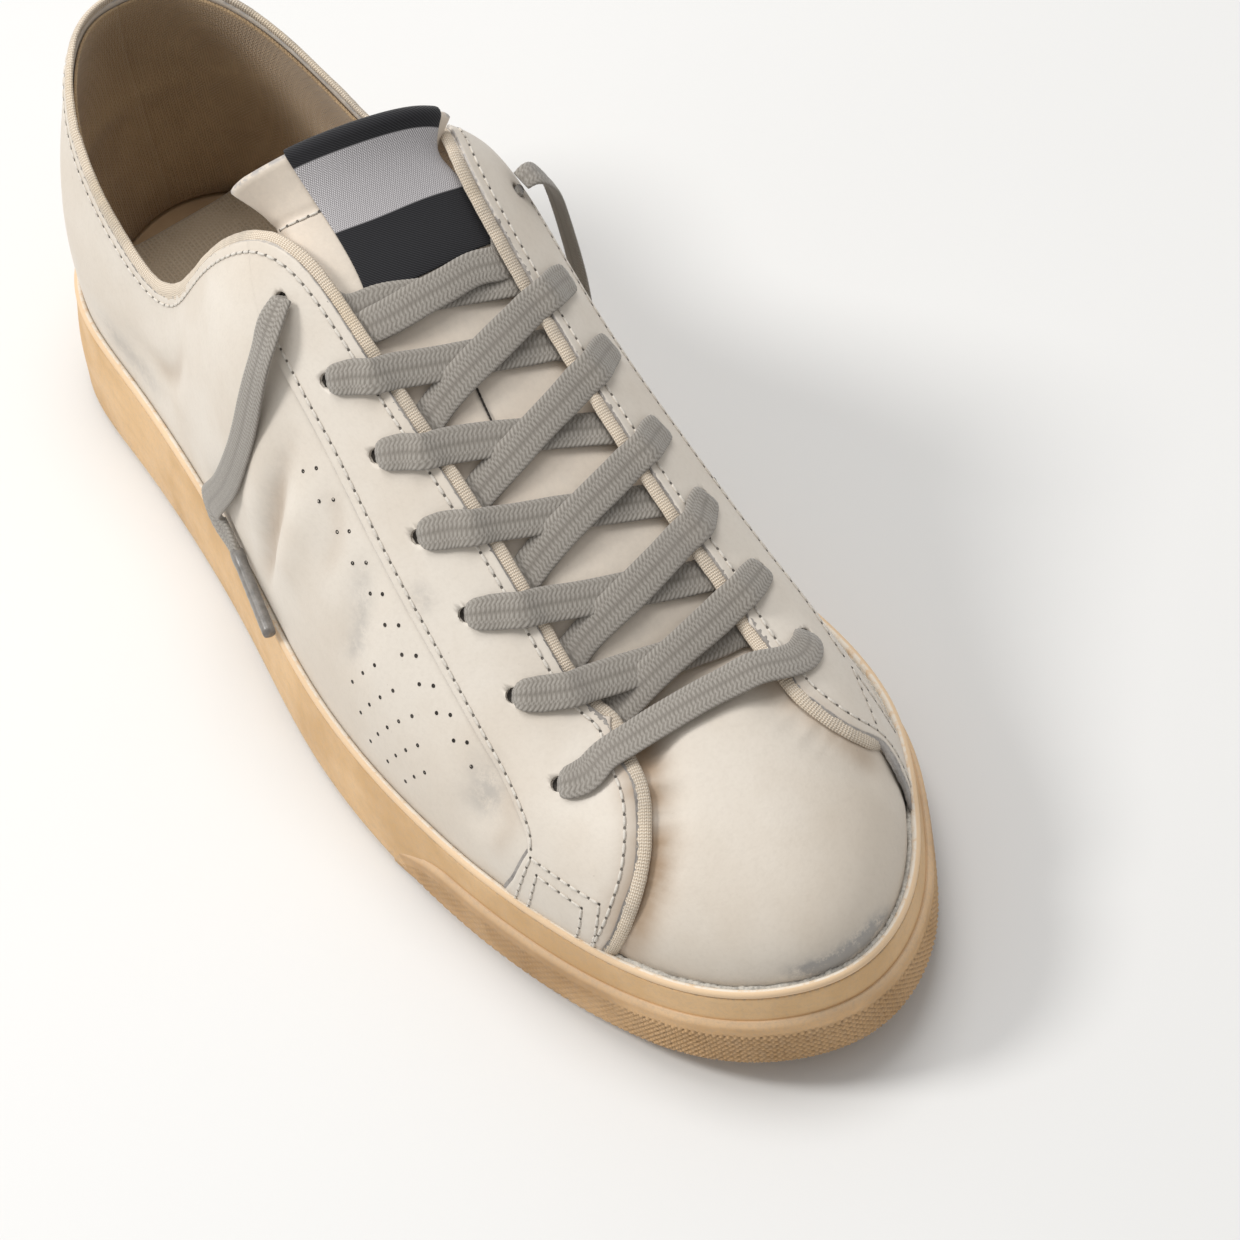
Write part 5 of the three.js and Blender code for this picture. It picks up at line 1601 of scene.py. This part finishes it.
def top_strand(side, height):
    """The last strands pass under both flaps and come out through the last eyelets."""
    far = -side
    row_lateral, row_medial = TOP_ROWS[side]
    t, v = eyelet(side, 5)
    places = [(lifted(t, v + 0.02, -3.6), normal(t, v))]
    for share, h in ((0.0, 0.8), (0.2, 1.0 + 0.8 * height), (0.4, 1.3 + height), (0.6, 1.3 + height),
                     (0.8, 1.0 + 0.8 * height), (1.0, 0.8)):
        places.append(over_tongue(row_lateral, row_medial, share if side < 0 else 1 - share, h))
    t, v = eyelet(far, 6)
    places.append((lifted(t, v + 0.03, -3.2), normal(t, v)))
    places.append((lifted(t, v, -1.0), normal(t, v)))
    places.append((lifted(t, v, 2.2), normal(t, v)))
    width = ([0, 0.1, 0.2, 0.80, 0.93, 1], [5.5, 7.0, LACE_WIDE, LACE_WIDE, 4.6, 3.4])
    run(f"lace_strand_6_{'a' if side < 0 else 'b'}", places, width, 13 + (side > 0), "lace_crossing_6")


lace_bar()
for _row in range(5):
    strand(1, _row, 0.2)
    strand(-1, _row, 1.7)
top_strand(1, 0.2)
top_strand(-1, 1.9)


# ---- insole --------------------------------------------------------------------------------------------
def insole():
    """A worn footbed with a raised rim and hollows under heel and ball."""
    inside = BAND_INSIDE + GAP + WALL + GAP
    rows, columns = 130, 44
    x = np.linspace(9, 283.5, rows)
    t_lateral = np.array([station(-1, v) for v in x])
    t_medial = np.array([station(1, v) for v in x])
    a = outline(t_lateral) - outward(t_lateral) * inside
    b = outline(t_medial) - outward(t_medial) * inside
    w = (1 - np.cos(np.linspace(0, math.pi, columns))) / 2
    xy = a[:, None] + (b - a)[:, None] * w[None, :, None]
    z = sole_top(xy[..., 0]) + GAP + 4
    edge = np.minimum(w, 1 - w)[None, :] * np.linalg.norm(b - a, axis=1)[:, None]
    z = z + 1.6 * np.exp(-edge / 3.0) - 0.4
    for centre_x, centre_y, wide, deep in ((38, 0, 22, 1.3), (212, 12, 26, 1.0), (196, -22, 20, 0.8)):
        z = z - deep * np.exp(-((xy[..., 0] - centre_x) ** 2 + (xy[..., 1] - centre_y) ** 2) / wide**2)
    p = np.concatenate([xy, z[..., None]], -1)
    thing = sheet("footbed", p, grid_normals(p), 3.0, FOOTBED,
                  values={"grime": np.zeros((rows, columns))})
    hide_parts("insole")


insole()


# ---- sole ----------------------------------------------------------------------------------------------
def bumper_share(t):
    x = outline(t)[..., 0]
    start = np.where(t < AT_TOE, BUMPER_START[-1], BUMPER_START[1])
    return ease((x - start) / BUMPER_TAPER)


def in_from(t, distance, z):
    p = outline(t) - outward(t) * np.asarray(distance)[..., None]
    return np.concatenate([p, np.asarray(z)[..., None]], -1)


def foxing():
    """The rubber band: its profile goes up the outer face, over a rounded lip and down inside."""
    t = np.linspace(0, AT_END, 720, endpoint=False)
    x = outline(t)[:, 0]
    low, top = spring(x) + 0.6, band_top(x)
    foot = BUMPER_THICK * bumper_share(t)
    lean = np.maximum(BAND_LEAN, foot + 0.3)
    rng = np.random.default_rng(3)
    wave = np.convolve(rng.normal(0, 1, len(t) * 3), np.hanning(41) / 14, "same")[len(t):2 * len(t)]
    top = top + 0.22 * wave - 1.3 * ease((x - 235) / 40)
    face = []  # (distance in from the outline, height)
    for s in np.linspace(0, 1, 5):
        face.append((foot + 1.6 * (1 - s) ** 2, low + 1.9 * s))
    for s in np.linspace(0.06, 1, 16):
        bulge = 0.45 * math.sin(math.pi * s) ** 2
        face.append((foot + (lean - foot) * s**1.15 - bulge, low + 1.9 + (top - low - 4.0) * s))
    # a shallow groove under the lip, the lip itself, and the way down inside it
    face.append((lean + 0.18, top - 1.75))
    for angle in np.linspace(-60, 150, 12):
        a = math.radians(angle)
        face.append((lean + 0.95 - 0.95 * math.cos(a), top - 0.95 + 0.95 * math.sin(a)))
    face.append((lean + 2.0, top - 1.2))
    face.append((np.full_like(t, BAND_INSIDE + 0.25), top - 1.6))
    face.append((np.full_like(t, BAND_INSIDE), top - 5))
    face.append((np.full_like(t, BAND_INSIDE), low))
    points = np.stack([in_from(t, np.broadcast_to(d, t.shape), z) for d, z in face], 1)
    rows, columns = points.shape[:2]
    height = (points[..., 2] - low[:, None]) / (top - low)[:, None]
    number = np.broadcast_to(np.arange(columns)[None, :], (rows, columns))
    lip = 0.75 * ((number >= 24) & (number <= 33))
    crust = np.where((number >= 30) & (number <= 35), 0.9, 0.0)
    dirt = 0.30 * np.exp(-(height / 0.16) ** 2) + 0.35 * ((number >= 21) & (number <= 22))
    dirt = dirt + 0.45 * (number >= 33) + 0.12 * (number < 24)
    values = {"lip": lip, "crust": crust, "grime": dirt, "pit": np.zeros_like(height)}
    thing = piece("band_of_rubber", points.reshape(-1, 3), grid_faces(rows, columns, True, True), BAND_RUBBER,
                  values=values)
    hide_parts("foxing")


foxing()


def joint_crust():
    """Old glue and dirt in a ragged bead where the leather meets the rubber."""
    count = 900
    t = np.linspace(0, AT_END, count, endpoint=False)
    x = outline(t)[:, 0]
    rng = np.random.default_rng(21)
    rough = np.convolve(rng.normal(0, 1, count * 3), np.hanning(9) / 3, "same")[count:2 * count]
    radius = np.clip(0.62 + 0.16 * rough, 0.3, 1.1) * (0.75 + 0.35 * ease((x - 200) / 60))
    line = in_from(t, np.full(count, BAND_INSIDE - 0.15), band_top(x) - 1.15 - 1.3 * ease((x - 235) / 40))
    out = np.concatenate([outward(t), np.zeros((count, 1))], 1)
    rings = []
    for j in range(8):
        a = 2 * math.pi * j / 8
        jag = 1 + 0.22 * rng.normal(0, 1, count)
        reach = (radius * jag)[:, None]
        rings.append(line + out * math.cos(a) * reach + np.array([0, 0, 1]) * math.sin(a) * reach)
    points = np.stack(rings, 1)
    faces = grid_faces(count, 8, True, True)
    thing = piece("joint_crust", points.reshape(-1, 3), faces, CRUST)
    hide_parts("foxing")


joint_crust()


BUMPER_STEP = 0.37  # mm between the bumper's profiles


def bumper():
    """The toe bumper: a smooth rim on top, bricks along the sides and raised diamonds round the toe."""
    start, end = station(-1, BUMPER_START[-1] + 1), station(1, BUMPER_START[1] + 1)
    fine = np.linspace(start, end, 2000)
    length = along_path(outline(fine))
    count = int(length[-1] / BUMPER_STEP)
    along = np.linspace(0, length[-1], count)
    t = np.interp(along, length, fine)
    x = outline(t)[:, 0]
    share = bumper_share(t)
    low = spring(x) + 0.6
    high = spring(x) + 3.2 + (BUMPER_HIGH - 3.2) * np.sqrt(share)
    foot = BUMPER_THICK * share
    levels = np.linspace(0, 1, 46)
    to_toe = np.exp(-((along - length[-1] * 0.52) / 46) ** 2) ** 0.5
    to_toe = ease((to_toe - 0.45) / 0.3)
    tall = (high - low)
    mm = levels[None, :] * tall[:, None]
    texture_top = np.minimum(tall - 3.4, 11.0)
    fade = ease(mm / 1.0) * ease((texture_top[:, None] - mm) / 0.8)
    # bricks: long rows, each shifted by half a brick
    row = mm / 0.95
    shifted = along[:, None] / 2.3 + 0.5 * (np.floor(row) % 2)
    brick = (np.abs(np.sin(math.pi * row)) ** 0.5) * (np.abs(np.sin(math.pi * shifted)) ** 0.35)
    # diamonds: two families of slanted grooves
    p, q = along[:, None] / 1.55 + mm / 1.5, along[:, None] / 1.55 - mm / 1.5
    diamond = (np.abs(np.sin(math.pi * p)) * np.abs(np.sin(math.pi * q))) ** 0.5
    bricks_high, diamonds_high = 0.42, 0.85
    shape = bricks_high * brick * (1 - to_toe[:, None]) + diamonds_high * diamond * to_toe[:, None]
    relief = shape * fade
    smooth = 1 - fade
    distance = 0.55 - relief
    distance = distance + 1.1 * (1 - ease(mm / 1.8)) ** 2 - 0.28 * smooth * ease((mm - 2) / 2)
    distance = np.minimum(distance, foot[:, None] * 0.9 + 0.2)
    # the rim on top is rolled
    rim = ease((levels - 0.86) / 0.14)[None, :]
    distance = distance + rim**2 * np.minimum(1.0, foot)[:, None] * 0.9
    z = low[:, None] + 0.1 + mm
    outer_face = in_from(np.broadcast_to(t[:, None], z.shape), distance, z)
    behind = foot + 0.35 * (np.maximum(BAND_LEAN, foot + 0.3) - foot) - 0.2
    back_profile = ((0.9, high - 0.6), (0.7, low + 3), (0.9, low + 0.3))
    back = [in_from(t, behind + deep, z_back) for deep, z_back in back_profile]
    points = np.concatenate([outer_face] + [b[:, None] for b in back], 1)
    rows, columns = points.shape[:2]
    faces = [tuple(f) for f in grid_faces(rows, columns, False, True)]
    faces.append(tuple(range(columns))[::-1])
    faces.append(tuple((rows - 1) * columns + j for j in range(columns)))
    # Painted shade: the colour darkens deep in the texture's grooves, most round the toe; the pit value
    # carries it.
    sunk = (1 - shape / np.maximum(shape.max(), 1e-6)) ** 1.5 * fade * (0.35 + 0.65 * to_toe[:, None])
    painted_groove_shade = np.concatenate([sunk, np.zeros((rows, 3))], 1)
    lip = np.concatenate([0.55 * rim * np.ones((rows, 1)), np.zeros((rows, 3))], 1)
    dirt = np.concatenate([0.35 * (1 - ease(mm / 3)) + 0.18, np.zeros((rows, 3))], 1)
    thing = piece("textured_bumper", points.reshape(-1, 3), faces, BUMPER_RUBBER, None,
                  {"lip": lip, "crust": lip * 0, "grime": dirt, "pit": painted_groove_shade})
    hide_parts("toe_bumper")


bumper()

_outsole = bpy.data.objects[[n for n in bpy.data.objects.keys() if n.startswith("outsole")][0]]
_outsole.data.materials.clear()
_outsole.data.materials.append(TREAD_RUBBER)


# ---- floor and light -----------------------------------------------------------------------------------
def floor():
    mesh = bpy.data.meshes.new("floor")
    size = 6.0
    corners = [(-size, -size, 0), (size, -size, 0), (size, size, 0), (-size, size, 0)]
    mesh.from_pydata(corners, [], [(0, 1, 2, 3)])
    look = Look("floor", 0.7, 0.0, 0.2)
    look.colour(look.mix(look.ramp(look.noise(3, 2), 0.3, 0.7), (0.74, 0.74, 0.735), (0.76, 0.76, 0.755)))
    mesh.materials.append(look.material)
    thing = bpy.data.objects.new("floor", mesh)
    bpy.context.scene.collection.objects.link(thing)


def area_light(name, position, target, size, power, colour=(1, 1, 1)):
    data = bpy.data.lights.new(name, "AREA")
    data.shape = "DISK"
    data.size, data.energy, data.color = size, power, colour
    lamp = bpy.data.objects.new(name, data)
    lamp.location = position
    lamp.rotation_euler = (Vector(target) - Vector(position)).to_track_quat("-Z", "Y").to_euler()
    bpy.context.scene.collection.objects.link(lamp)


def light():
    world = bpy.data.worlds.new("soft_room")
    world.use_nodes = True
    world.node_tree.nodes["Background"].inputs["Color"].default_value = (1.0, 0.99, 0.975, 1)
    world.node_tree.nodes["Background"].inputs["Strength"].default_value = 0.52
    bpy.context.scene.world = world
    area_light("key", (-0.55, -0.80, 1.10), (0.05, 0, 0.03), 0.40, 11.5, (1.0, 0.985, 0.96))
    area_light("top", (-0.30, 0.15, 1.40), (0.05, 0, 0.03), 0.8, 8.0)
    bpy.context.scene.view_settings.view_transform = "Standard"


floor()
light()
